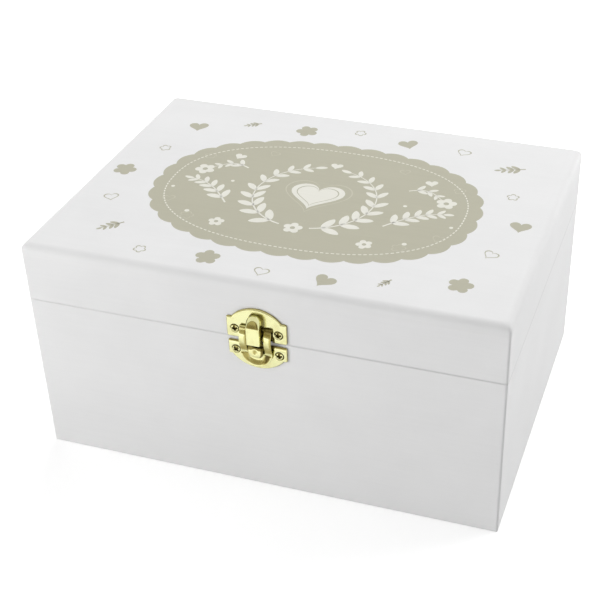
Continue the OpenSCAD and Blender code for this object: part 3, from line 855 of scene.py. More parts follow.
class Motif(Enum):
    """The small shapes of the print."""

    HEART = "heart"
    BLOSSOM = "blossom"
    LEAF = "leaf"
    DOT = "dot"

    def outline(self, steps: int = 48) -> Array:
        """The motif's outline, one unit across and seen as round from its own middle.

        Heart: (-16 sin^3 t, 13 cos t - 5 cos 2t - 2 cos 3t - cos 4t + 1.5) / 32. Blossom: five petals,
        with r = 0.5 (0.58 + 0.42 |cos 2.5 t|^0.6). Leaf: (0.5 cos t, 0.21 sin t |sin t|^0.35), bent by
        0.12 (0.25 - x^2). Dot: a circle.

        Args:
            steps: How many points the outline has.

        Returns:
            The outline's points, (steps, 2).
        """
        t = np.arange(steps) * (2 * np.pi / steps)
        if self is Motif.HEART:
            x = 16 * np.sin(t) ** 3
            y = 13 * np.cos(t) - 5 * np.cos(2 * t) - 2 * np.cos(3 * t) - np.cos(4 * t)
            return np.stack([-x, y + 1.5], axis=-1) / 32
        if self is Motif.LEAF:
            x = 0.5 * np.cos(t)
            y = 0.21 * np.sin(t) * np.abs(np.sin(t)) ** 0.35
            return np.stack([x, y + 0.12 * (0.25 - x * x)], axis=-1)
        reach = np.full(steps, 0.5)
        if self is Motif.BLOSSOM:
            reach = 0.5 * (0.58 + 0.42 * np.abs(np.cos(2.5 * t)) ** 0.6)
        return reach[:, None] * np.stack([np.cos(t), np.sin(t)], axis=-1)


@dataclass(frozen=True)
class Stamp:
    """A motif's place from the print's middle, its width, its turn, and a line's width if it is drawn.

    Lengths are in millimetres and the turn is in radians. A pair is the motif and its mirror image to the
    left, turned the other way.
    """

    kind: Motif
    right: float
    ahead: float
    size: float
    angle: float = 0.0
    stroke: float = 0.0
    pair: bool = False

    def resized(self, kind: Motif, share: float) -> "Stamp":
        """Another motif at the same place, smaller by a share."""
        return replace(self, kind=kind, size=share * self.size, angle=0.0)


class Layer(Enum):
    """The underside and the top of each layer of ink, measured down from the lid's highest point."""

    PLAQUE = (0.3, 0.08)
    LOOSE = (0.3, 0.05)
    FAINT = (0.25, 0.06)
    PALE_LINES = (0.25, 0.04)
    PALE_SHAPES = (0.25, 0.02)
    SAGE_ON_PALE = (0.25, 0.0)


class Relief:
    """Flat printed shapes, each a closed slip of ink between two heights."""

    def __init__(self, low: float, high: float, middle: Span) -> None:
        """Starts with no shapes.

        Args:
            low: The height of the ink's underside.
            high: The height of its top.
            middle: The print's middle on the lid.
        """
        self.low = low
        self.high = high
        self.middle = np.array(middle)
        self.surface = Surface()

    def _raised(self, outline: Array) -> Array:
        """The outline at the ink's underside and again at its top, (2, n, 3)."""
        levels = [np.column_stack([outline, np.full(len(outline), z)]) for z in (self.low, self.high)]
        return np.array(levels)

    def fill(self, outline: Array) -> None:
        """Adds a filled shape that is seen as round from its own middle."""
        self.surface.add_tube(self._raised(outline))

    def line(self, outer: Array, inner: Array) -> None:
        """Adds a closed line between two matching outlines.

        Args:
            outer: The line's outer edge.
            inner: Its inner edge.
        """
        low_outer, high_outer = self._raised(outer)
        low_inner, high_inner = self._raised(inner)
        sections = np.stack([low_outer, high_outer, high_inner, low_inner], axis=0)
        rows, cols = sections.shape[:2]
        self.surface.add(sections, grid_faces(rows, cols, wrap_rows=True, wrap_cols=True))

    def ribbon(self, path: Array, widths: Array) -> None:
        """Adds an open line of changing width: the path moved half the width to each side.

        Args:
            path: The line's middle, (n, 2).
            widths: Its width at each point.
        """
        slope = np.gradient(path, axis=0)
        side = np.stack([-slope[:, 1], slope[:, 0]], axis=-1)
        side *= (0.5 * widths / np.linalg.norm(slope, axis=1))[:, None]
        left = np.column_stack([path + side, np.full(len(path), self.low)])
        right = np.column_stack([path - side, np.full(len(path), self.low)])
        lift = np.array([0.0, 0.0, self.high - self.low])
        self.surface.add_tube(np.stack([left, right, right + lift, left + lift], axis=1))

    def stamp(self, *stamps: Stamp) -> None:
        """Adds motifs, each filled or drawn as a line.

        Args:
            stamps: The motifs with their places.
        """
        for one in stamps:
            for side in (1, -1) if one.pair else (1,):
                outline = one.kind.outline() @ turn(side * one.angle) * one.size
                centre = self.middle + [side * one.right, one.ahead]
                if one.stroke:
                    self.line(outline + centre, outline * (1 - 2 * one.stroke / one.size) + centre)
                else:
                    self.fill(outline + centre)

    def branch(self, stem: Array, leaves: int, leaf_l: float, spread: float = 0.75) -> None:
        """Adds a stem that narrows to its tip, with leaves in pairs along it and one at its end.

        Args:
            stem: The stem's line from the print's middle, (n, 2).
            leaves: How many pairs of leaves it has.
            leaf_l: The length of the longest leaf.
            spread: How far the leaves turn from the stem, in radians.
        """
        self.ribbon(stem + self.middle, np.linspace(1.1, 0.5, len(stem)))
        slope = np.gradient(stem, axis=0)
        for k in range(leaves):
            share = (k + 0.8) / (leaves + 0.5)
            at = int(share * (len(stem) - 1))
            heading = math.atan2(slope[at, 1], slope[at, 0])
            size = leaf_l * (1.0 - 0.45 * share)
            for side in (-1, 1):
                angle = heading + side * spread
                centre = self.middle + stem[at] + 0.55 * size * np.array([math.cos(angle), math.sin(angle)])
                self.fill(Motif.LEAF.outline() * [1, -side] @ turn(angle) * size + centre)
        end_l = 0.6 * leaf_l
        right, ahead = stem[-1] + 0.45 * end_l * slope[-1] / np.linalg.norm(slope[-1])
        self.stamp(Stamp(Motif.LEAF, right, ahead, end_l, math.atan2(slope[-1, 1], slope[-1, 0])))


@dataclass
class LidPrint:
    """A scalloped plaque with a stitched border, a wreath and sprays, and small motifs scattered round it."""

    centre: Span = (0.0, -5.0)
    half_w: float = 101.0
    half_d: float = 69.0
    squareness: float = 2.35
    scallops: int = 34
    scallop_h: float = 2.6
    stitch_inset: float = 7.0
    stitch_l: float = 1.9
    stitch_gap: float = 1.2
    stitch_w: float = 0.75
    wreath_r: float = 38.0
    leaf_l: float = 13.0
    spread_w: float = 123.0
    spread_d: float = 88.0
    spread_squareness: float = 3.4
    edge: Span = (134.0, 97.0)
    scattered: int = 20
    sizes: tuple[float, ...] = (13.0, 8.0, 15.0, 9.5)
    wander: float = 0.045
    tilt: float = 0.45
    line_w: float = 0.8
    dense: int = 4000
    blossoms: tuple[Stamp, ...] = (
        Stamp(Motif.BLOSSOM, 79, 15, 13, 0.3, pair=True),
        Stamp(Motif.BLOSSOM, 46, -45, 10, 0.8, pair=True),
        Stamp(Motif.BLOSSOM, 0, -39, 12, 0.3),
    )
    pale: tuple[Stamp, ...] = (
        Stamp(Motif.HEART, 0, 1, 34),
        Stamp(Motif.HEART, 64, 37, 8, 0.25, pair=True),
        Stamp(Motif.DOT, 68, -38, 3, pair=True),
        Stamp(Motif.DOT, 89, -12, 2.4, pair=True),
        Stamp(Motif.DOT, 56, 5, 2.4, pair=True),
        Stamp(Motif.HEART, 0, 42, 8),
    )
    faint: tuple[Stamp, ...] = (
        Stamp(Motif.HEART, 0, 1, 43, stroke=0.8),
        Stamp(Motif.BLOSSOM, -66, -43, 9, 0.2, 0.6),
        Stamp(Motif.BLOSSOM, 66, -43, 9, 0.2, 0.6),
        Stamp(Motif.HEART, 85, -27, 8, -0.3, 0.6, pair=True),
        Stamp(Motif.BLOSSOM, -83, 33, 8, 0.5, 0.6),
        Stamp(Motif.BLOSSOM, 83, 33, 8, 0.5, 0.6),
        Stamp(Motif.HEART, 44, 47, 7, 0.3, 0.55, pair=True),
    )
    heart_line: Stamp = Stamp(Motif.HEART, 0, 1.5, 27, stroke=0.7)
    middle_share: float = 0.26

    def relief(self, layer: Layer) -> Relief:
        """Starts a layer of ink at its heights on the lid.

        Args:
            layer: Which layer it is.

        Returns:
            The layer, with nothing on it.
        """
        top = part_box("lid_top_panel")[1].z / MM
        low, high = layer.value
        return Relief(top - low, top - high, self.centre)

    def oval(self, half_w: float, half_d: float, t: Array, power: float) -> Array:
        """Points on |x / a|^p + |y / b|^p = 1 round the print's middle, at the angles t.

        Args:
            half_w: The half width a.
            half_d: The half depth b.
            t: The angles.
            power: The exponent p, 2 for an ellipse.

        Returns:
            The points.
        """
        x = half_w * np.sign(np.cos(t)) * np.abs(np.cos(t)) ** (2 / power)
        y = half_d * np.sign(np.sin(t)) * np.abs(np.sin(t)) ** (2 / power)
        return np.stack([x, y], axis=-1) + self.centre

    def even_oval(self, half_w: float, half_d: float, count: int, power: float) -> Array:
        """Points at equal steps along a closed oval, (count, 2)."""
        path = self.oval(half_w, half_d, np.linspace(0, 2 * np.pi, self.dense + 1), power)
        return along(path, count + 1)[:-1]

    def plaque(self) -> Object:
        """The plaque: an even oval of n scallops, pushed out by h |sin(pi n s)|^0.8 at the share s of it.

        Returns:
            The plaque.
        """
        steps = self.scallops * 16
        outline = self.even_oval(self.half_w, self.half_d, steps, self.squareness)
        slope = np.roll(outline, -1, axis=0) - np.roll(outline, 1, axis=0)
        outward = np.stack([slope[:, 1], -slope[:, 0]], axis=-1)
        outward /= np.linalg.norm(outward, axis=1, keepdims=True)
        share = np.arange(steps) / steps
        bulge = self.scallop_h * np.abs(np.sin(np.pi * self.scallops * share)) ** 0.8
        relief = self.relief(Layer.PLAQUE)
        relief.fill(outline + outward * bulge[:, None])
        return relief.surface.piece("print_plaque")

    def stitches(self) -> Object:
        """A row of dashes along an even oval inside the plaque's edge.

        Returns:
            The dashes.
        """
        half_w, half_d = self.half_w - self.stitch_inset, self.half_d - self.stitch_inset
        dense = self.even_oval(half_w, half_d, self.dense, self.squareness)
        length = np.linalg.norm(dense - np.roll(dense, 1, axis=0), axis=1).sum()
        step = self.stitch_l + self.stitch_gap
        count = int(length / step)
        relief = self.relief(Layer.PALE_LINES)
        for k in range(count):
            places = (np.linspace(0, self.stitch_l / step, 5) + k) / count * len(dense)
            path = dense[np.round(places).astype(int) % len(dense)]
            relief.ribbon(path, np.full(len(path), self.stitch_w))
        return relief.surface.piece("print_stitches")

    def wreath(self) -> Object:
        """Two leafy branches that rise from the bottom round the middle, and two sprays to each side.

        The branches are arcs of one circle. The sprays run along (50 + 31 t, 7 sin 2.6 t - 22 + 20 t) and
        (53 + 22 t, 24 + 6 sin 3 t - 6 t), with t from 0 to 1.

        Returns:
            The branches.
        """
        relief = self.relief(Layer.PALE_LINES)
        t = np.linspace(0.0, 1.0, 40)
        angles = np.linspace(-0.42 * np.pi, 0.40 * np.pi, 60)
        for side in (-1, 1):
            ring = self.wreath_r * np.stack([side * np.cos(angles), np.sin(angles)], axis=-1)
            relief.branch(ring, 9, self.leaf_l)
            low = np.stack([side * (50 + 31 * t), 7 * np.sin(2.6 * t) - 22 + 20 * t], axis=-1)
            relief.branch(low, 5, self.leaf_l * 0.85)
            high = np.stack([side * (53 + 22 * t), 24 + 6 * np.sin(3.0 * t) - 6 * t], axis=-1)
            relief.branch(high, 3, self.leaf_l * 0.65)
        return relief.surface.piece("print_branches")

    def stamped(self, name: str, layer: Layer, *stamps: Stamp) -> Object:
        """Prints motifs as one piece.

        Args:
            name: The piece's name.
            layer: The layer of ink that they lie in.
            stamps: The motifs.

        Returns:
            The piece.
        """
        relief = self.relief(layer)
        relief.stamp(*stamps)
        return relief.surface.piece(name)

    def scatter(self) -> tuple[Object, Object]:
        """Small hearts, blossoms and sprigs round the plaque, filled and drawn as lines in turn.

        They stand at equal steps of a squarer oval. The k-th is moved out from the middle by a share that
        goes with cos(2.4 k + 0.6) and is tilted by an angle that goes with sin(1.9 k).

        Returns:
            The filled motifs and the line motifs.
        """
        filled, lines = self.relief(Layer.LOOSE), self.relief(Layer.LOOSE)
        spots = self.even_oval(self.spread_w, self.spread_d, self.scattered, self.spread_squareness)
        for k, spot in enumerate(spots - self.centre):
            spot = spot * (1.0 + self.wander * math.cos(2.4 * k + 0.6)) + self.centre
            spot = np.clip(spot, np.negative(self.edge), self.edge) - self.centre
            size = self.sizes[k % len(self.sizes)]
            angle = self.tilt * math.sin(1.9 * k)
            if k % 5 == 2:
                heading = 0.9 + 1.3 * k
                reach = np.linspace(-0.55, 0.5, 20)[:, None]
                filled.branch(spot + size * reach * [math.cos(heading), math.sin(heading)], 3, 0.5 * size)
            elif k % 2:
                lines.stamp(Stamp((Motif.HEART, Motif.BLOSSOM)[k % 4 == 1], *spot, size, angle, self.line_w))
            else:
                filled.stamp(Stamp((Motif.HEART, Motif.BLOSSOM)[k % 4 == 2], *spot, size, angle))
        return filled.surface.piece("print_scattered"), lines.surface.piece("print_scattered_lines")

    def dress(self) -> None:
        """Prints the lid."""
        centres = [one.resized(Motif.DOT, self.middle_share) for one in self.blossoms]
        filled, lines = self.scatter()
        for made, finish in (
            (self.plaque(), SAGE_INK),
            (self.stitches(), CREAM_INK),
            (self.wreath(), CREAM_INK),
            (self.stamped("print_light_motifs", Layer.PALE_SHAPES, *self.pale, *self.blossoms), CREAM_INK),
            (self.stamped("print_blossom_centres", Layer.SAGE_ON_PALE, self.heart_line, *centres), SAGE_INK),
            (self.stamped("print_faint_motifs", Layer.FAINT, *self.faint), PALE_INK),
            (filled, SAGE_INK),
            (lines, SAGE_INK),
        ):
            place_piece(made, "lid", finish)


# ---------------------------------------------------------------- catch


@dataclass
class CatchPlace:
    """Where the catch stands on the box, taken from the frame."""

    front: float = field(init=False)
    seam: float = field(init=False)
    middle: float = field(init=False)

    def __post_init__(self) -> None:
        """Reads the boxes of the front wall and the lever."""
        low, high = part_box("front_wall")
        self.front = low.y / MM
        self.seam = high.z / MM
        left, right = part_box("catch_lever")
        self.middle = 0.5 * (left.x + right.x) / MM

    def points(self, x: Array, up: Array, out: Array) -> Array:
        """Points of the frame: x to the right of the middle, up above the seam, out of the front face."""
        x, up, out = np.broadcast_arrays(x, up, out)
        return np.stack([self.middle + x, self.front - out, self.seam + up], axis=-1)


@dataclass
class PlateSizes:
    """One catch plate, drawn upright from its straight edge.

    Heights are measured from the seam, away from it: low is the straight edge, ear the top of the plate's
    two ears, and arch the top of the arch between them. Along the straight edge the bevel is as wide as
    slope, and elsewhere as wide as it is high.
    """

    half_w: float
    low: float
    ear: float
    arch: float
    arch_r: float
    slope: float
    screw_up: float
    window_half_w: float = 0.0
    window_top: float = 0.0
    height: float = 1.5
    bevel: float = 0.8
    window_r: float = 1.2
    window_foot_r: float = 0.3
    screw_x: float = 13.15


UPPER_PLATE = PlateSizes(18.15, 0.5, 14.0, 21.4, 18.8, 0.8, 6.4, window_half_w=9.6, window_top=10.15)
LOWER_PLATE = PlateSizes(17.8, 1.8, 11.6, 19.0, 20.3, 2.3, 7.85)


@dataclass
class CatchPlate:
    """A pressed plate with a rounded edge, dimpled screw seats and, above, a window.

    The edge starts at lip_h above the wood, over a foot that lies inside it by undercut, so that it casts a
    line of shadow.
    """

    place: CatchPlace
    sizes: PlateSizes
    upright: int
    corner_r: float = 1.1
    least_r: float = 0.03
    window_flare: float = 0.3
    undercut: float = 0.4
    foot_h: float = 0.28
    lip_h: float = 0.34
    lip_inset: float = 0.06
    edge_h: float = 0.4
    edge_power: float = 1.5
    flat_rim: float = 0.12
    seat_r: float = 3.1
    seat_depth: float = 0.6
    seat_fall: float = 0.9
    seat_rim: float = 0.08
    hole_r: float = 1.3
    hole_depth: float = 1.2
    # Darkening: of the edge by the inset, partly tarnishing and partly painted contact shadow, and painted
    # shadow in a seat by its rings and by the cosine of the angle from its darkest side, between the least
    # and the most.
    edge_tarnish_and_shade: Shade = Shade(0.6, 0.4, 0.03)
    seat_shadow: Span = (0.12, 0.85)
    seat_deepens: Span = (1.0, 6.0)
    seat_darkest: float = 0.9
    seat_dark_side: Span = (-0.1, 0.7)

    def outline(self, inset: float) -> Array:
        """The plate's outline, smaller all round by inset.

        The ears are a rectangle and the arch is an arc that rises from between them. A corner that turns
        outwards has its radius made smaller by the inset, and the window grows by a share of it.

        Args:
            inset: How far the outline lies inside the plate's edge.

        Returns:
            The outline from the lower left corner, with the plate on its left.
        """
        s = self.sizes
        half_w, ear, radius = s.half_w - inset, s.ear - inset, s.arch_r - inset
        low = s.low + inset * s.slope / s.bevel
        centre = s.arch - s.arch_r
        lower = [(-half_w, low)]
        window_r = []
        if s.window_top:
            flare = self.window_flare * inset
            side, top = s.window_half_w + flare, s.window_top + flare
            lower += [(-side, low), (-side, top), (side, top), (side, low)]
            window_r = [s.window_foot_r, s.window_r + flare, s.window_r + flare, s.window_foot_r]
        corners = np.array(lower + [(half_w, low), (half_w, ear), (-half_w, ear)])
        outer_r = max(self.corner_r - inset, self.least_r)
        steps = 5
        points = round_corners(corners, np.array([outer_r] + window_r + 3 * [outer_r]), steps)
        start = math.asin((ear - centre) / radius)
        arch = arc((0.0, centre), radius, start, math.pi - start, 48)
        return np.vstack([points[: -steps - 1], arch, points[-steps - 1 :]])

    def build(self, name: str) -> Object:
        """The plate: its outline carried over a rounded edge, then a flat face with two dimples.

        The edge follows |x|^p + |z|^p = bevel^p with p = 1.5, between a chamfer and a quarter circle. The
        seats are darker on the side away from the light.

        Args:
            name: The piece's name.

        Returns:
            The plate.
        """
        s = self.sizes
        angles = np.linspace(0.0, np.pi / 2, 9)
        power = 2.0 / self.edge_power
        insets = s.bevel * (1 - np.cos(angles) ** power)
        heights = np.maximum(s.height - s.bevel * (1 - np.sin(angles) ** power), self.edge_h)
        foot = [self.undercut, self.undercut, self.lip_inset]
        insets = np.concatenate([foot, insets, [s.bevel + self.flat_rim]])
        heights = np.concatenate([[0.0, self.foot_h, self.lip_h], heights, [s.height]])
        rings = []
        for inset, height in zip(insets, heights):
            outline = self.outline(inset)
            rings.append(self.place.points(outline[:, 0], self.upright * outline[:, 1], height))
        surface = Surface()
        # The edge is darkened: partly tarnishing, partly painted contact shadow.
        tarnish_and_shade = self.edge_tarnish_and_shade.at(insets)[:, None]
        surface.add(np.array(rings), grid_faces(len(rings), len(rings[0]), wrap_cols=True), tarnish_and_shade)
        surface.add_polygon([rings[0]])
        loops = [rings[-1]]
        for side in (-1, 1):
            seat = self.seat(side)
            loops.append(seat[0])
            rows, cols = seat.shape[:2]
            # Painted shadow in each seat, darkest on one side.
            deep = smooth_step(np.arange(rows, dtype=float), *self.seat_deepens)[:, None]
            turned = smooth_step(np.cos(round_angles(cols) - self.seat_darkest), *self.seat_dark_side)
            least, most = self.seat_shadow
            tarnish_and_shade = deep * (least + (most - least) * turned)
            surface.add(seat, grid_faces(rows, cols, wrap_cols=True), tarnish_and_shade)
            surface.add_polygon([seat[-1]])
        surface.add_polygon(loops)
        return surface.piece(name)

    def seat(self, side: int) -> Array:
        """The rings of one screw's dimple, from its rim down to the hole.

        At the share s of the way in, the radius is r - f s and the depth is d (1 - cos pi s) / 2.

        Args:
            side: -1 for the left screw and 1 for the right one.

        Returns:
            The rings, (n, m, 3).
        """
        s = self.sizes
        share = np.linspace(0.0, 1.0, 13)
        radii = self.seat_r - self.seat_fall * share
        depths = self.seat_depth * (1 - np.cos(np.pi * share)) / 2
        radii = np.concatenate([[self.seat_r + self.seat_rim], radii, [self.hole_r]])
        depths = np.concatenate([[0.0], depths, [self.hole_depth]])
        angles = round_angles(48)[None, :]
        x = side * s.screw_x + radii[:, None] * np.cos(angles)
        up = self.upright * s.screw_up + radii[:, None] * np.sin(angles)
        return self.place.points(x, up, (s.height - depths)[:, None])


def carried(path: Array, half_w: Array, cols: int) -> tuple[Array, Array, Array]:
    """A strip's middle surface, (rows, cols): the path's two measures, and v half_w for v from -1 to 1."""
    v = np.linspace(-1.0, 1.0, cols)[None, :]
    return path[:, :1] + 0 * v, path[:, 1:] + 0 * v, half_w[:, None] * v


@dataclass
class Hook:
    """The hook that rises out of the lower plate and turns down.

    bends are the [out, up] of its side view's corners, and end is how far below the seam it reaches.
    """

    place: CatchPlace
    half_w: float = 4.25
    thickness: float = 0.7
    end: float = 9.1
    bends: tuple[Span, ...] = (
        (0.2, -2.5), (3.0, -2.6), (4.1, -3.4), (4.6, -4.6), (4.75, -6.2), (4.75, -7.8),
    )
    end_out: float = 4.5
    round_share: float = 0.75
    tip_share: float = 0.42
    dimple_x: float = -0.4
    dimple_up: float = -5.5
    dimple_r: float = 2.2
    dimple_h: float = 0.4
    ease: float = 0.9
    # Painted shade, as a darkening of the metal: on the rims by the share of the half width, at the root by
    # the height, in the dimple by the distance from its middle, and at the tip by the height above the end.
    inside: float = 0.6
    right_rim: Shade = Shade(0.9, 0.68, 0.88)
    left_rim: Shade = Shade(0.45, 0.86, 0.98)
    root: Shade = Shade(0.6, -4.4, -2.9)
    in_dimple: Shade = Shade(0.5, 2.0, 0.4)
    tip: Shade = Shade(0.5, 0.9, 0.3)

    def build(self) -> Object:
        """The hook: a bent strip whose free end is round, with a dimple that is flat in its middle quarter.

        Near its end the half width is w (s + (1 - s) sqrt(1 - 0.98 t^2.4)), with t the share of the way
        into the round and s the share of the width that is left at the tip.

        Returns:
            The hook.
        """
        end = (self.end_out, 0.5 * self.thickness - self.end)
        path = along(np.array([*self.bends, end]), 70, reach=self.ease)
        run = self.round_share * self.half_w
        into = np.clip((path[-1, 1] + run - path[:, 1]) / run, 0.0, 1.0)
        half_w = self.half_w * (self.tip_share + (1.0 - self.tip_share) * np.sqrt(1.0 - 0.98 * into**2.4))
        out, up, side = carried(path, half_w, 21)
        far = np.hypot(side - self.dimple_x, up - self.dimple_up)
        dent = self.dimple_h * smooth_step(far, self.dimple_r, 0.25 * self.dimple_r)
        middle = self.place.points(side, up, out - dent)
        share = side / half_w[:, None]
        # Painted shade on the hook's rims, root, dimple and tip.
        wear_and_shade = np.maximum.reduce([
            self.right_rim.at(share) + self.left_rim.at(-share), self.root.at(up), self.in_dimple.at(far),
            self.tip.at(self.end + up),
        ])
        surface = Surface()
        skins = wall(middle, self.thickness)
        surface.add_shell(*skins, rim_steps=5, tarnish_and_shade=wear_and_shade, inner_tarnish_and_shade=self.inside)
        return surface.piece("strike_hook", sharp=40.0)


@dataclass
class Lugs:
    """The two ears that stand in the upper plate's window and hold the lever's pin."""

    place: CatchPlace
    inner: float = 4.75
    sheet: float = 0.6
    window: float = 9.7
    root_out: float = 0.4
    pin_out: float = 3.4
    pin_up: float = 4.0
    half_w: float = 1.6
    ease: float = 1.2
    # Painted shade: the lugs are darkened all over, and a thin dark sheet lies on the wood behind the window.
    tarnish_and_shade: float = 0.7
    shadow_sheet_past: float = 0.3
    shadow_sheet_low: float = 0.7
    shadow_sheet_out: float = 0.055
    shadow_sheet_t: float = 0.07
    shadow_sheet_dark: float = 0.95

    def build(self) -> Object:
        """Each lug: a strip that runs in from the window's side and turns out to a round end.

        Past the pin's height its half width is w sqrt(1 - t^2), with t the share of the way to the end.

        Returns:
            The lugs.
        """
        surface = Surface()
        middle_x = self.inner + 0.5 * self.sheet
        end = self.pin_out + self.half_w
        bend = np.array([(self.window, self.root_out), (middle_x, self.root_out), (middle_x, end)])
        path = along(bend, 60, reach=self.ease)
        into = np.clip((path[:, 1] - self.pin_out) / self.half_w, 0.0, 0.995)
        half_w = self.half_w * np.sqrt(1.0 - into**2)
        x, out, side = carried(path, half_w, 9)
        for hand in (-1, 1):
            middle = self.place.points(hand * x, self.pin_up + side, out)
            surface.add_shell(*wall(middle, self.sheet), tarnish_and_shade=self.tarnish_and_shade, inner_tarnish_and_shade=self.tarnish_and_shade)
        return surface.piece("catch_lugs", sharp=40.0)

    def shadow_sheet(self, plate: PlateSizes) -> Object:
        """A thin dark sheet of painted shade on the wood behind the window: a flat grid that runs a little
        past it.

        Args:
            plate: The sizes of the plate with the window.

        Returns:
            The dark sheet.
        """
        half_w, top = plate.window_half_w + self.shadow_sheet_past, plate.window_top + self.shadow_sheet_past
        across, upright = np.linspace(-half_w, half_w, 5), np.linspace(self.shadow_sheet_low, top, 5)
        x, up = np.meshgrid(across, upright, indexing="ij")
        surface = Surface()
        skins = wall(self.place.points(x, up, self.shadow_sheet_out), self.shadow_sheet_t)
        surface.add_shell(*skins, tarnish_and_shade=self.shadow_sheet_dark, inner_tarnish_and_shade=self.shadow_sheet_dark)
        return surface.piece("window_shadow_sheet")


@dataclass
class Lever:
    """The toggle's lever: a folded sheet with a flat face and a nose with a finger scoop.

    Its side view is a path of [out, up]: up the flat face to the shoulder, down the nose's slope, over the
    nose's round and back to the edge beside the plate. fold_corners are the [up, out] of the line that its
    folded sides start from.
    """

    place: CatchPlace
    back_w: float = 4.6
    back_out: float = 1.0
    face_w: float = 3.95
    face_out: float = 7.9
    face_fall: float = 0.3
    heel: float = 1.1
    shoulder: float = 12.1
    tip: float = 17.9
    tip_out: float = 2.3
    nose_out: float = 3.6
    nose_r: float = 1.6
    edge_r: float = 0.8
    sheet: float = 0.8
    scoop_depth: float = 0.3
    scoop_w: float = 3.6
    scoop_h: float = 5.7
    scoop_up: float = 10.6
    rim_fall: float = 2.2
    rim_reach: float = 0.35
    rim_starts: float = 0.6
    scoop_starts: float = 2.6
    start_down: float = 0.05
    round_h: float = 4.4
    round_power: float = 2.5
    round_share: float = 0.965
    tip_gap: float = 0.002
    ease: float = 0.35
    fold_corners: tuple[Span, ...] = (
        (1.0, 3.4), (3.2, 2.2), (6.5, 1.5), (8.0, 1.1), (9.4, 1.0), (10.6, 1.85), (18.0, 1.85),
    )
    room: float = 0.25
    least_room: float = 0.02
    inner_r: float = 0.3
    closes: Span = (0.8, 1.7)
    side_steps: int = 7
    # Painted shade, as a darkening of the metal: on the sides by the share of the way to the face, and along
    # the scoop's edge by q as in skin() and by the distance to the right of the middle.
    sides: Shade = Shade(0.85, 1.0, 0.35)
    inside: float = 0.9
    scoop_edge: Shade = Shade(0.6, 0.8, 0.96)
    scoop_edge_ends: Span = (1.12, 1.0)
    scoop_edge_right: Span = (1.2, 2.6)

    def side_view(self) -> Array:
        """The face's path, with the slope between the shoulder and the nose touching the nose's round.

        Returns:
            The path's points as [out, up], at even steps.
        """
        shoulder = np.array([self.face_out - self.face_fall, self.shoulder])
        centre = np.array([self.nose_out, self.tip - self.nose_r])
        gap = shoulder - centre
        start = math.atan2(gap[1], gap[0]) + math.acos(self.nose_r / np.linalg.norm(gap))
        nose = arc(centre, self.nose_r, start, 0.5 * math.pi, 16)
        path = np.vstack([[[self.face_out, self.heel]], [shoulder], nose, [[self.tip_out, self.tip]]])
        return along(path, 130, reach=self.ease)

    def build(self) -> Object:
        """The lever: at each point of its side view a U-shaped section, of an outer and an inner skin.

        Up to the round end the section has its full width. In it the width is multiplied by
        (1 - (c t)^p)^(1/p), with t the share of the way up the round and c a little under 1. The hollow
        inside closes towards the tip, and the last rows stay just under it.

        Returns:
            The lever.
        """
        face, up = self.side_view().T
        up = np.minimum(up, self.tip - self.tip_gap)
        into = np.clip((up - self.tip + self.round_h) / self.round_h, 0.0, 1.0)
        share = (1.0 - (self.round_share * into) ** self.round_power) ** (1.0 / self.round_power)
        back = np.interp(up, *np.transpose(self.fold_corners))
        edge_r = np.minimum(self.edge_r, 0.4 * (face - back))
        outer = self.skin(up, share, 0.0, face, back, edge_r, True)
        hollow = np.maximum(face - self.sheet - self.room - back, self.least_room) - self.least_room
        inner_face = back + self.least_room + hollow * smooth_step(self.tip - up, *self.closes)
        inner_r = self.inner_r * np.minimum(1.0, inner_face - back)
        inner = self.skin(up, share, self.sheet, inner_face, back, inner_r, False)
        surface = Surface()
        surface.add_shell(outer, inner, 1, self.tarnish_and_shade(outer[..., 0] - self.place.middle, up), self.inside)
        return surface.piece("toggle_lever", sharp=35.0)

    def tarnish_and_shade(self, x: Array, up: Array) -> Array:
        """How far the outer skin is darkened with painted shade: on its sides, and round the right of the
        scoop's edge.

        Args:
            x: The skin's places to the right of the catch's middle, (rows, cols).
            up: The rows' heights above the seam.

        Returns:
            The painted shade of each point.
        """
        side = np.linspace(0.0, 1.0, self.side_steps)
        depth = np.concatenate([side, np.ones(x.shape[1] - 2 * len(side)), side[::-1]])
        q = self.arch(x, up[:, None])
        edge = self.scoop_edge.at(q) * smooth_step(q, *self.scoop_edge_ends) * (up > self.shoulder)[:, None]
        return np.maximum(self.sides.at(depth), edge * smooth_step(x, *self.scoop_edge_right))

    def arch(self, x: Array, up: Array) -> Array:
        """The distance q from the scoop's middle as a share of the arch's size."""
        return np.hypot(x / self.scoop_w, np.maximum(up - self.scoop_up, 0.0) / self.scoop_h)

    def skin(
        self, up: Array, share: Array, inset: float, face: Array, back: Array,
        radius: Array, scooped: bool,
    ) -> Array:
        """One skin of the folded sheet, up the left side, over the face and down the right side.

        The sides lean outwards to the wood: their half width grows evenly from the face to the back. The
        scoop lowers the face by depth (1 - q^2), with q the distance from the scoop's middle as a share of
        the arch's size, and beyond the arch the rim falls away evenly with q - 1.

        Args:
            up: The heights of the sections.
            share: The share of the full width that each section has.
            inset: How far the skin lies inside the lever's sides.
            face: How far out the sections' faces lie.
            back: How far out their sides start.
            radius: The radius between side and face.
            scooped: Whether the finger scoop is pressed in.

        Returns:
            The skin's points, (rows, cols, 3).
        """
        share, face, back, radius = (a[:, None] for a in (share, face, back, radius))
        lean = (self.back_w - self.face_w) / (self.face_out - self.back_out)

        def half_w(out: Array) -> Array:
            """The half width of the sides at a distance out of the wood."""
            full = share * (self.face_w + lean * (self.face_out - out))
            return np.maximum(full - inset, 0.2 * full)

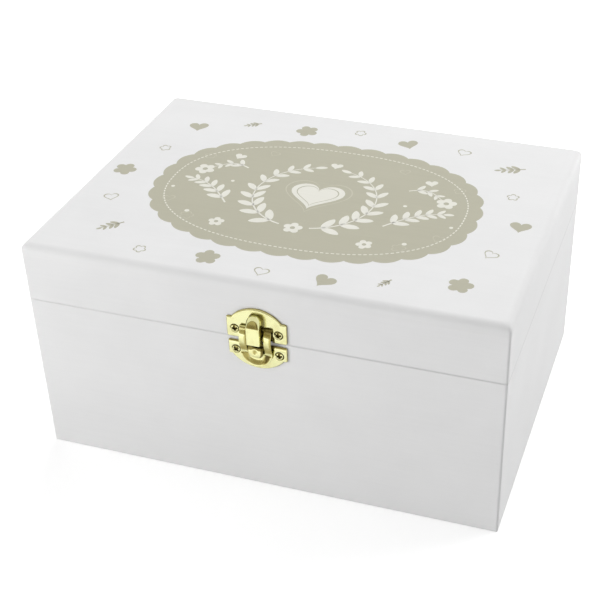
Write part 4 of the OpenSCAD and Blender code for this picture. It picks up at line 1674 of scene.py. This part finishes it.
        side = np.linspace(0.0, 1.0, self.side_steps)[None, :]
        fold = np.linspace(0.0, np.pi / 2, 8)[None, 1:]
        across = np.linspace(-1.0, 1.0, 33)[None, 1:-1]
        side_out = back + (face - radius - back) * side
        side_x = half_w(side_out)
        edge = half_w(face - radius)
        turned = np.minimum(radius, 0.8 * edge)
        fold_x, fold_out = edge - turned * (1 - np.cos(fold)), face - radius * (1 - np.sin(fold))
        flat_x, flat_out = (edge - turned) * across, face + 0 * across
        x = np.concatenate([-side_x, -fold_x, flat_x, fold_x[:, ::-1], side_x[:, ::-1]], axis=1)
        out = np.concatenate([side_out, fold_out, flat_out, fold_out[:, ::-1], side_out[:, ::-1]], axis=1)
        level = up[:, None] + 0 * x
        if scooped:
            q = self.arch(x, level)
            above = level - self.shoulder
            pressed = smooth_step(above, -self.start_down, self.scoop_starts) * np.clip(1.0 - q**2, 0.0, 1.0)
            beyond = np.where(out > face - radius, np.clip(q - 1.0, 0.0, self.rim_reach), 0.0)
            beyond = beyond * smooth_step(above, -self.start_down, self.rim_starts)
            out = out - self.scoop_depth * pressed - self.rim_fall * beyond
        return self.place.points(x, level, out)


@dataclass
class Loop:
    """The toggle's loop: two straps that hang from the loop's pin and a dished end that the hook holds.

    upper_bends are the corners of a strap's side view as [out, distance below the pin]. The curl is of
    thinner sheet, which thickens over the rows given.
    """

    place: CatchPlace
    pin_out: float = 2.2
    pin_up: float = 9.0
    strap_in: float = 5.55
    strap_out: float = 9.25
    upper_bends: tuple[Span, ...] = (
        (3.1, 0.8), (4.3, 3.7), (4.7, 6.4), (4.7, 8.8), (4.15, 11.4),
    )
    foot_out: float = 3.4
    foot_above: float = 0.9
    foot_fall: float = 0.6
    foot_falls: Span = (0.7, -1.7)
    bow: float = 0.12
    dish_up: float = -6.4
    dish_r: float = 9.25
    catch_edge: float = -7.35
    floor_out: float = 2.15
    rim_out: float = 3.75
    rim_w: float = 4.2
    blends: Span = (-0.2, -2.4)
    corner_r: float = 1.6
    sheet: float = 0.8
    curl_r: float = 1.3
    curl_sheet: float = 0.55
    curl_turns: Span = (235.0, -25.0)
    thickens: Span = (20.0, 34.0)
    ease: float = 2.0
    # Painted shade, as a darkening of the metal: behind the hook and on the dish's rise by the distance from
    # the dish's middle, with below as the depth under it and the rises' own shares by x; at the straps' tops
    # and feet by the height; and along each strap's right edge by the share of the way across it.
    inside: float = 0.5
    below: Span = (0.0, 1.6)
    behind_hook: Shade = Shade(0.6, 4.4, 2.6)
    right_rise: Shade = Shade(0.85, 2.8, 6.0)
    left_rise: Shade = Shade(0.5, 3.6, 6.4)
    rise_least: float = 0.15
    rise_begins: Span = (4.7, 6.3)
    rise_ends: Span = (9.1, 8.3)
    right_top: float = 0.85
    left_top: float = 0.3
    top_begins: Span = (4.8, 8.6)
    foot: Shade = Shade(0.5, 2.0, -3.6)
    foot_ends: Span = (-6.3, -4.9)
    right_edge: Shade = Shade(0.5, 0.62, 1.0)
    edge_ends: Span = (-5.6, -4.0)

    def build(self) -> Object:
        """The loop: a band between its inner and outer edges, carried from one strap's curl to the other's.

        In the strap the band's distance from the wood follows the strap's own side view, bowed across by
        b (1 - q^2) with q from -1 to 1, and falls at the strap's foot. In the dish it rises from the floor
        to the rim with the distance from the dish's middle, and the two are blended below the foot.

        Returns:
            The loop.
        """
        turns = (math.radians(angle) for angle in self.curl_turns)
        curl = arc((self.pin_out, self.pin_up), self.curl_r - 0.5 * self.curl_sheet, *turns, 22)
        bends = [(out, self.pin_up - below) for out, below in self.upper_bends]
        bends = np.array([*bends, (self.foot_out, self.dish_up + self.foot_above)])
        strap = along(np.vstack([curl, bends]), 110, reach=self.ease)
        inner, outer = self.edges(strap[:, 1])
        heights = np.concatenate([strap[:, 0], np.full(len(inner) - len(strap), strap[-1, 0])])
        v = np.linspace(0.0, 1.0, 19)[None, :, None]
        flat = inner[:, None] * (1 - v) + outer[:, None] * v
        x, up = flat[..., 0], flat[..., 1]
        above = up - self.dish_up
        rise = smooth_step(np.hypot(x, above), self.dish_r - self.rim_w, self.dish_r)
        dish = self.floor_out + (self.rim_out - self.floor_out) * rise
        share = smooth_step(above, *self.blends)
        foot = self.foot_fall * smooth_step(above, *self.foot_falls)
        bowed = self.bow * (1.0 - (2.0 * v[..., 0] - 1.0) ** 2)
        out = (heights[:, None] + bowed - foot) * (1 - share) + dish * share
        curled = smooth_step(np.arange(float(len(inner))), *self.thickens)
        sheet = self.curl_sheet + (self.sheet - self.curl_sheet) * curled
        x = np.vstack([x, -x[-2::-1]])
        up, out = (np.vstack([half, half[-2::-1]]) for half in (up, out))
        sheet = np.concatenate([sheet, sheet[-2::-1]])
        surface = Surface()
        skins = wall(self.place.points(x, up, out), sheet)
        surface.add_shell(*skins, rim_steps=5, tarnish_and_shade=self.tarnish_and_shade(x, up), inner_tarnish_and_shade=self.inside)
        return surface.piece("toggle_loop", sharp=40.0)

    def edges(self, strap_up: Array) -> tuple[Array, Array]:
        """The band's inner and outer edges as [x, up], from the right strap's curl to the dish's middle.

        Args:
            strap_up: The heights of the strap's rows.

        Returns:
            The two edges, with as many points each.
        """
        foot, corner = strap_up[-1], self.corner_r
        inner_end = np.vstack([
            [[self.strap_in, foot]],
            arc((self.strap_in - corner, self.catch_edge + corner), corner, 0.0, -0.5 * math.pi, 8),
            [[0.0, self.catch_edge]],
        ])
        start = min(math.asin((foot - self.dish_up) / self.dish_r), 0.0)
        round_end = arc((0.0, self.dish_up), self.dish_r, start, -0.5 * math.pi, 40)
        outer_end = np.vstack([[[self.strap_out, foot]], round_end])
        inner, outer = (
            np.vstack([np.column_stack([np.full_like(strap_up, x), strap_up]), along(end, 46)[1:]])
            for x, end in ((self.strap_in, inner_end), (self.strap_out, outer_end))
        )
        return inner, outer

    def tarnish_and_shade(self, x: Array, up: Array) -> Array:
        """How far the loop is darkened with painted shade: behind the hook, round the dish's rise, and at
        each strap's two ends.

        Args:
            x: The points' places to the right of the catch's middle.
            up: Their heights above the seam.

        Returns:
            The tarnish of each point.
        """
        far = np.hypot(x, up - self.dish_up)
        below = smooth_step(self.dish_up - up, *self.below)
        ends = self.right_rise.at(x) + self.left_rise.at(-x)
        ring = smooth_step(far, *self.rise_begins) * smooth_step(far, *self.rise_ends)
        across = np.where(x > 0.0, x - self.strap_in, x + self.strap_out) / (self.strap_out - self.strap_in)
        return np.maximum.reduce([
            self.behind_hook.at(far) * below,
            ring * below * (self.rise_least + ends),
            smooth_step(up, *self.top_begins) * np.where(x > 0.0, self.right_top, self.left_top),
            self.foot.at(up) * smooth_step(up, *self.foot_ends),
            self.right_edge.at(across) * smooth_step(up, *self.edge_ends),
        ])


@dataclass
class Screw:
    """A cross-headed wood screw. The sizes of its recess are shares of its head's radius."""

    head_r: float = 2.15
    shank_r: float = 1.1
    length: float = 7.5
    dome_h: float = 0.5
    rim_fall: float = 0.06
    middle_r: float = 0.004
    point_r: float = 0.1
    slot_half_w: float = 0.25
    slot_half_l: float = 0.78
    blur: float = 0.05
    recess_share: float = 0.6
    recess_shade: float = 0.85
    rows: int = 40
    cols: int = 144

    def skin(self) -> tuple[Array, Array]:
        """The screw about its own axis: rings of points from its head's middle down to its point.

        The head's height is h (1 - (r / R)^2), less the cross recess: its depth times a step across each
        of its arms. Below it come the head's cone, the shank and the point.

        Returns:
            x, y and height of the rings of points, (rings, cols, 3), with the head's rim at height 0, and
            how far each point is darkened with painted shade: in the cross recess and all below the head.
        """
        angles = round_angles(self.cols)[None, :]
        radii = np.linspace(self.middle_r, 1.0, self.rows)[:, None] * self.head_r
        x, y = radii * np.cos(angles), radii * np.sin(angles)
        shares = (self.slot_half_w, self.slot_half_l, self.blur)
        half_w, half_l, blur = (share * self.head_r for share in shares)

        def arms(wider: float) -> Array:
            """Marks the cross recess.

            Args:
                wider: By how much the marked cross is wider all round.

            Returns:
                1 within the cross and 0 beyond it, with a blurred edge.
            """
            across, down = (
                smooth_step(np.abs(a), half_w + wider + blur, half_w + wider - blur)
                * smooth_step(np.abs(b), half_l + wider, half_l + wider - 2 * blur)
                for a, b in ((x, y), (y, x))
            )
            return np.maximum(across, down)

        cone = self.head_r - self.shank_r
        deep = self.recess_share * cone + self.dome_h
        head = np.stack([x, y, self.dome_h * (1 - (radii / self.head_r) ** 2) - arms(0.0) * deep], axis=-1)
        below = np.array([
            (self.head_r, -self.rim_fall), (self.shank_r, -cone), (self.shank_r, self.shank_r - self.length),
            (self.point_r, -self.length),
        ])[..., None]
        radii, levels = below[:, 0], below[:, 1]
        rings = np.stack([radii * np.cos(angles), radii * np.sin(angles), levels + 0 * angles], axis=-1)
        # Painted shade: the cross recess and everything below the head are darkened.
        dark = self.recess_shade * arms(2 * blur)
        return np.concatenate([head, rings]), np.vstack([dark, np.ones(rings.shape[:2])])


@dataclass
class ToggleCatch:
    """The toggle catch: its plates, hook, lever, loop, pins and screws."""

    place: CatchPlace = field(default_factory=CatchPlace)
    screw_sink: float = 0.15
    upper_turns: Span = (0.2, 0.1)
    lower_turns: Span = (0.75, 0.1)
    lever_pin_r: float = 0.7
    lever_pin_half_l: float = 5.35
    loop_pin_r: float = 0.55
    loop_pin_half_l: float = 9.1
    pin_bevel: float = 0.3
    pin_ends: Spot = (0.55, 0.85, 1.0)
    # The pins are darkened all over.
    pin_darkening: float = 0.75

    def pin(self, name: str, up: float, out: float, radius: float, half_l: float) -> Object:
        """A pin across the catch: rings about its axis, smaller over the bevel at its ends.

        Args:
            name: The piece's name.
            up: Its height above the seam.
            out: Its distance out of the front face.
            radius: Its radius.
            half_l: Half its length.

        Returns:
            The pin.
        """
        ends = half_l - np.array([0.0, 0.3, 1.0]) * self.pin_bevel * radius
        sizes = np.array(self.pin_ends) * radius
        along_x = np.concatenate([-ends, ends[::-1]])[:, None]
        radii = np.concatenate([sizes, sizes[::-1]])[:, None]
        angles = round_angles(32)[None, :]
        surface = Surface()
        points = self.place.points(along_x, up + radii * np.cos(angles), out + radii * np.sin(angles))
        surface.add_tube(points, self.pin_darkening)
        return surface.piece(name, sharp=50.0)

    def screws(self, name: str, plate: PlateSizes, upright: int, angles: Span) -> Object:
        """The two screws of one plate, each turned by its own angle.

        Args:
            name: The piece's name.
            plate: The plate's sizes.
            upright: 1 for the upper plate and -1 for the lower one.
            angles: How far each screw's cross is turned.

        Returns:
            The screws.
        """
        surface = Surface()
        skin, tarnish_and_shade = Screw().skin()
        out = plate.height - self.screw_sink + skin[..., 2]
        for side, angle in zip((-1, 1), angles):
            x, y = (skin[..., :2] @ turn(angle)).transpose(2, 0, 1)
            points = self.place.points(side * plate.screw_x + x, upright * plate.screw_up + y, out)
            surface.add_tube(points, tarnish_and_shade)
        return surface.piece(name, sharp=38.0)

    def dress(self) -> None:
        """Builds the catch's pieces, each in place of its CAD node."""
        lugs, lever, loop = Lugs(self.place), Lever(self.place), Loop(self.place)
        lever_pin = (lugs.pin_up, lugs.pin_out, self.lever_pin_r, self.lever_pin_half_l)
        loop_pin = (loop.pin_up, loop.pin_out, self.loop_pin_r, self.loop_pin_half_l)
        upper, lower = CatchPlate(self.place, UPPER_PLATE, 1), CatchPlate(self.place, LOWER_PLATE, -1)
        for made, body, finish, node in (
            (upper.build("upper_plate"), "lid", PLATE_BRASS, "catch_plate"),
            (lugs.build(), "lid", PLATE_BRASS, "catch_plate"),
            # A dark sheet of painted shade in the window.
            (lugs.shadow_sheet(UPPER_PLATE), "lid", PLATE_BRASS, "catch_plate"),
            (lower.build("lower_plate"), "base", PLATE_BRASS, "strike_plate"),
            (Hook(self.place).build(), "base", PLATE_BRASS, "strike_plate"),
            (lever.build(), "lever", TOGGLE_BRASS, "catch_lever"),
            (loop.build(), "loop", TOGGLE_BRASS, "catch_loop"),
            (self.pin("lever_rivet", *lever_pin), "lid", TOGGLE_BRASS, "lever_pin"),
            (self.pin("loop_rivet", *loop_pin), "lever", TOGGLE_BRASS, "loop_pin"),
            (
                self.screws("upper_plate_screws", UPPER_PLATE, 1, self.upper_turns),
                "lid", SCREW_BRASS, "catch_screws",
            ),
            (
                self.screws("lower_plate_screws", LOWER_PLATE, -1, self.lower_turns),
                "base", SCREW_BRASS, "strike_screws",
            ),
        ):
            place_piece(made, body, finish, (node,))


# ---------------------------------------------------------------- hinges


@dataclass
class Hinges:
    """The two butt hinges at the back, with a base leaf, a lid leaf and a pin each, and their screws."""

    sides: tuple[str, ...] = ("left", "right")
    parts: tuple[str, ...] = ("base_leaf", "lid_leaf", "pin")
    screws: tuple[str, ...] = ("hinge_screws_base", "hinge_screws_lid")

    def dress(self) -> None:
        """Gives the CAD hinges their brass."""
        nodes = tuple(f"{side}_hinge_{part}" for side in self.sides for part in self.parts)
        FINISHES.dress_nodes(nodes, HINGE_BRASS)
        FINISHES.dress_nodes(self.screws, SCREW_BRASS)


# ---------------------------------------------------------------- studio


@dataclass
class Softbox:
    """A square lamp that faces a point, in metres. Metal sees the white studio in its place."""

    name: str
    spot: Spot
    size: float
    power: float
    target: Spot = (0.0, 0.0, 0.07)

    def build(self) -> None:
        """Adds the lamp."""
        lamp = bpy.data.lights.new(self.name, "AREA")
        lamp.shape = "SQUARE"
        lamp.size = self.size
        lamp.energy = self.power
        holder = bpy.data.objects.new(self.name, lamp)
        holder.location = self.spot
        way = Vector(self.target) - Vector(self.spot)
        holder.rotation_euler = way.to_track_quat("-Z", "Y").to_euler()
        holder.visible_glossy = False
        bpy.context.scene.collection.objects.link(holder)


@dataclass
class DarkCard:
    """An upright card before the box that only reflections see: it gives the brass its darks.

    Its lengths are in metres. Its tone is deeper further up, and fades to the studio's white along its
    edges, more quickly along its foot.
    """

    distance: float = 0.95
    left: float = -2.2
    right: float = 0.3
    low: float = 0.01
    high: float = 0.85
    tone: Colour = (0.55, 0.48, 0.30)
    deep: Colour = (0.20, 0.15, 0.07)
    deepens: Span = (0.25, 0.6)
    edge: float = 0.16
    foot_rate: float = 1.6

    def build(self) -> None:
        """Adds the card, a flat sheet that gives off its own tone."""
        surface = Surface()
        corners = np.array([[self.left, self.right], [self.low, self.high]]) / MM
        x, z = np.meshgrid(*corners, indexing="ij")
        surface.add(np.stack([x, np.full_like(x, -self.distance / MM), z], axis=-1), grid_faces(2, 2))
        card = surface.piece("dark_card")
        made, tree = new_material("dark_card")
        place = tree.add("SeparateXYZ", {0: tree.add("TexCoord").outputs["Object"]})
        x, z = place.outputs["X"], place.outputs["Z"]
        from_foot = tree.math("MULTIPLY", tree.math("SUBTRACT", z, self.low), self.foot_rate)
        inside = tree.math("MINIMUM", tree.math("SUBTRACT", self.high, z), from_foot)
        for from_side in (tree.math("SUBTRACT", x, self.left), tree.math("SUBTRACT", self.right, x)):
            inside = tree.math("MINIMUM", from_side, inside)
        shade = tree.mix(tree.between(z, *self.deepens), self.tone, self.deep)
        colour = tree.mix(tree.between(inside, 0.0, self.edge, smooth=True), WHITE, shade)
        tree.end(tree.add("Emission", {"Color": colour}).outputs[0])
        card.data.materials.append(made)
        card.visible_camera = card.visible_diffuse = card.visible_shadow = card.visible_transmission = False


def seen(tree: Tree) -> Socket:
    """Tells what the camera, metal and glass see from the light on the object.

    Args:
        tree: The tree of the material or the world.

    Returns:
        A socket that is 1 for what is seen and 0 for the rest.
    """
    path = tree.add("LightPath")
    either = tree.math("MAXIMUM", path.outputs["Is Camera Ray"], path.outputs["Is Glossy Ray"])
    return tree.math("MAXIMUM", either, path.outputs["Is Transmission Ray"])


@dataclass
class Floor:
    """A sheet of pale paper that the eye sees as white, apart from the object's soft shadow.

    Its lengths are in metres. A strip to the box's right lights the object less, as the photo's darker
    surroundings on that side do, and the eye doesn't see it. The paper's own glow brings it up to white:
    a part of the way near the box, where the lamps light it too, and all the way far off.
    """

    size: float = 12.0
    sunk: float = 0.00005
    tone: Colour = (0.93, 0.93, 0.93)
    strip_tone: Colour = (0.66, 0.66, 0.66)
    strip_begins: Span = (0.14, 0.17)
    strip_ends: Span = (0.42, 0.26)
    glow_grows: Span = (0.2, 0.9)
    glow: Span = (0.39, 1.0)

    def build(self) -> None:
        """Adds the floor, a flat grid just under the box."""
        surface = Surface()
        line = np.linspace(-0.5, 0.5, 3) * self.size / MM
        x, y = np.meshgrid(line, line, indexing="ij")
        surface.add(np.stack([x, y, np.full_like(x, -self.sunk / MM)], axis=-1), grid_faces(3, 3))
        floor = surface.piece("floor")
        made, tree = new_material("floor_paper")
        place = tree.add("TexCoord").outputs["Object"]
        x = tree.add("SeparateXYZ", {0: place}).outputs["X"]
        strip = tree.math("MULTIPLY", tree.between(x, *self.strip_begins), tree.between(x, *self.strip_ends))
        unseen = tree.math("MULTIPLY", strip, tree.math("SUBTRACT", 1.0, seen(tree)))
        paper = tree.add("BsdfDiffuse", {"Color": tree.mix(unseen, self.tone, self.strip_tone)})
        far = tree.add("VectorMath", {0: place}, operation="LENGTH").outputs["Value"]
        strength = tree.math("MULTIPLY", seen(tree), tree.between(far, *self.glow_grows, *self.glow))
        glow = tree.add("Emission", {"Color": (*WHITE, 1.0), "Strength": strength})
        tree.end(tree.add("AddShader", {0: paper.outputs[0], 1: glow.outputs[0]}).outputs[0])
        floor.data.materials.append(made)


@dataclass
class Studio:
    """The camera at the photograph's angle, the world, the floor, the dark card and the lamps.

    The angles are in degrees, the camera's place is in millimetres and its reach is in metres.
    """

    focal_px: float = 1286.33
    centre_px: Span = (359.62, 336.63)
    image_px: float = 600.0
    sensor: float = 36.0
    azimuth: float = 18.24
    elevation: float = 34.89
    roll: float = -0.65
    camera_at: Spot = (242.1, -655.0, 525.0)
    reach: float = 50.0
    ambient: float = 0.25
    lamps: tuple[Softbox, ...] = (
        Softbox("left_softbox", (-1.1, -1.2, 0.5), 0.9, 13.7),
        Softbox("right_softbox", (1.7, 1.5, 1.2), 1.4, 24.0),
        Softbox("back_softbox", (0.0, 1.6, 2.0), 1.4, 20.5),
        Softbox("top_softbox", (0.3, 0.4, 2.3), 1.8, 12.8),
    )

    def camera(self) -> None:
        """Places the camera.

        Its axes come from the azimuth, elevation and roll, and its shift from the picture's centre.
        """
        a, e, r = (math.radians(v) for v in (self.azimuth, self.elevation, self.roll))
        back = Vector((math.sin(a) * math.cos(e), -math.cos(a) * math.cos(e), math.sin(e)))
        level = Vector((math.cos(a), math.sin(a), 0.0))
        upright = back.cross(level)
        right = level * math.cos(r) + upright * math.sin(r)
        up = upright * math.cos(r) - level * math.sin(r)
        data = bpy.data.cameras.new("camera")
        data.sensor_width = self.sensor
        data.lens = self.focal_px * self.sensor / self.image_px
        data.shift_x = (self.image_px / 2 - self.centre_px[0]) / self.image_px
        data.shift_y = (self.centre_px[1] - self.image_px / 2) / self.image_px
        data.clip_end = self.reach
        holder = bpy.data.objects.new("camera", data)
        turned = Matrix((right, up, back)).transposed()
        holder.matrix_world = Matrix.Translation(Vector(self.camera_at) * MM) @ turned.to_4x4()
        bpy.context.scene.collection.objects.link(holder)
        bpy.context.scene.camera = holder

    def world(self) -> None:
        """A world that is white to the eye and lights the object at a plain level."""
        world = bpy.data.worlds.new("studio_world")
        bpy.context.scene.world = world
        world.use_nodes = True
        world.node_tree.nodes.clear()
        tree = Tree(world.node_tree)
        strength = tree.math("MULTIPLY_ADD", seen(tree), 1.0 - self.ambient, self.ambient)
        background = tree.add("Background", {"Color": (*WHITE, 1.0), "Strength": strength})
        tree.end(background.outputs[0], "OutputWorld")

    def build(self) -> None:
        """Sets up the studio."""
        bpy.context.scene.view_settings.view_transform = "Standard"
        self.camera()
        self.world()
        for thing in (Floor(), DarkCard(), *self.lamps):
            thing.build()


def main() -> None:
    """Builds the box's pieces and the studio in order."""
    logging.basicConfig(level=logging.INFO, format="%(message)s")
    Woodwork().dress()
    LidPrint().dress()
    Hinges().dress()
    ToggleCatch().dress()
    Studio().build()


if __name__ == "__main__":
    main()
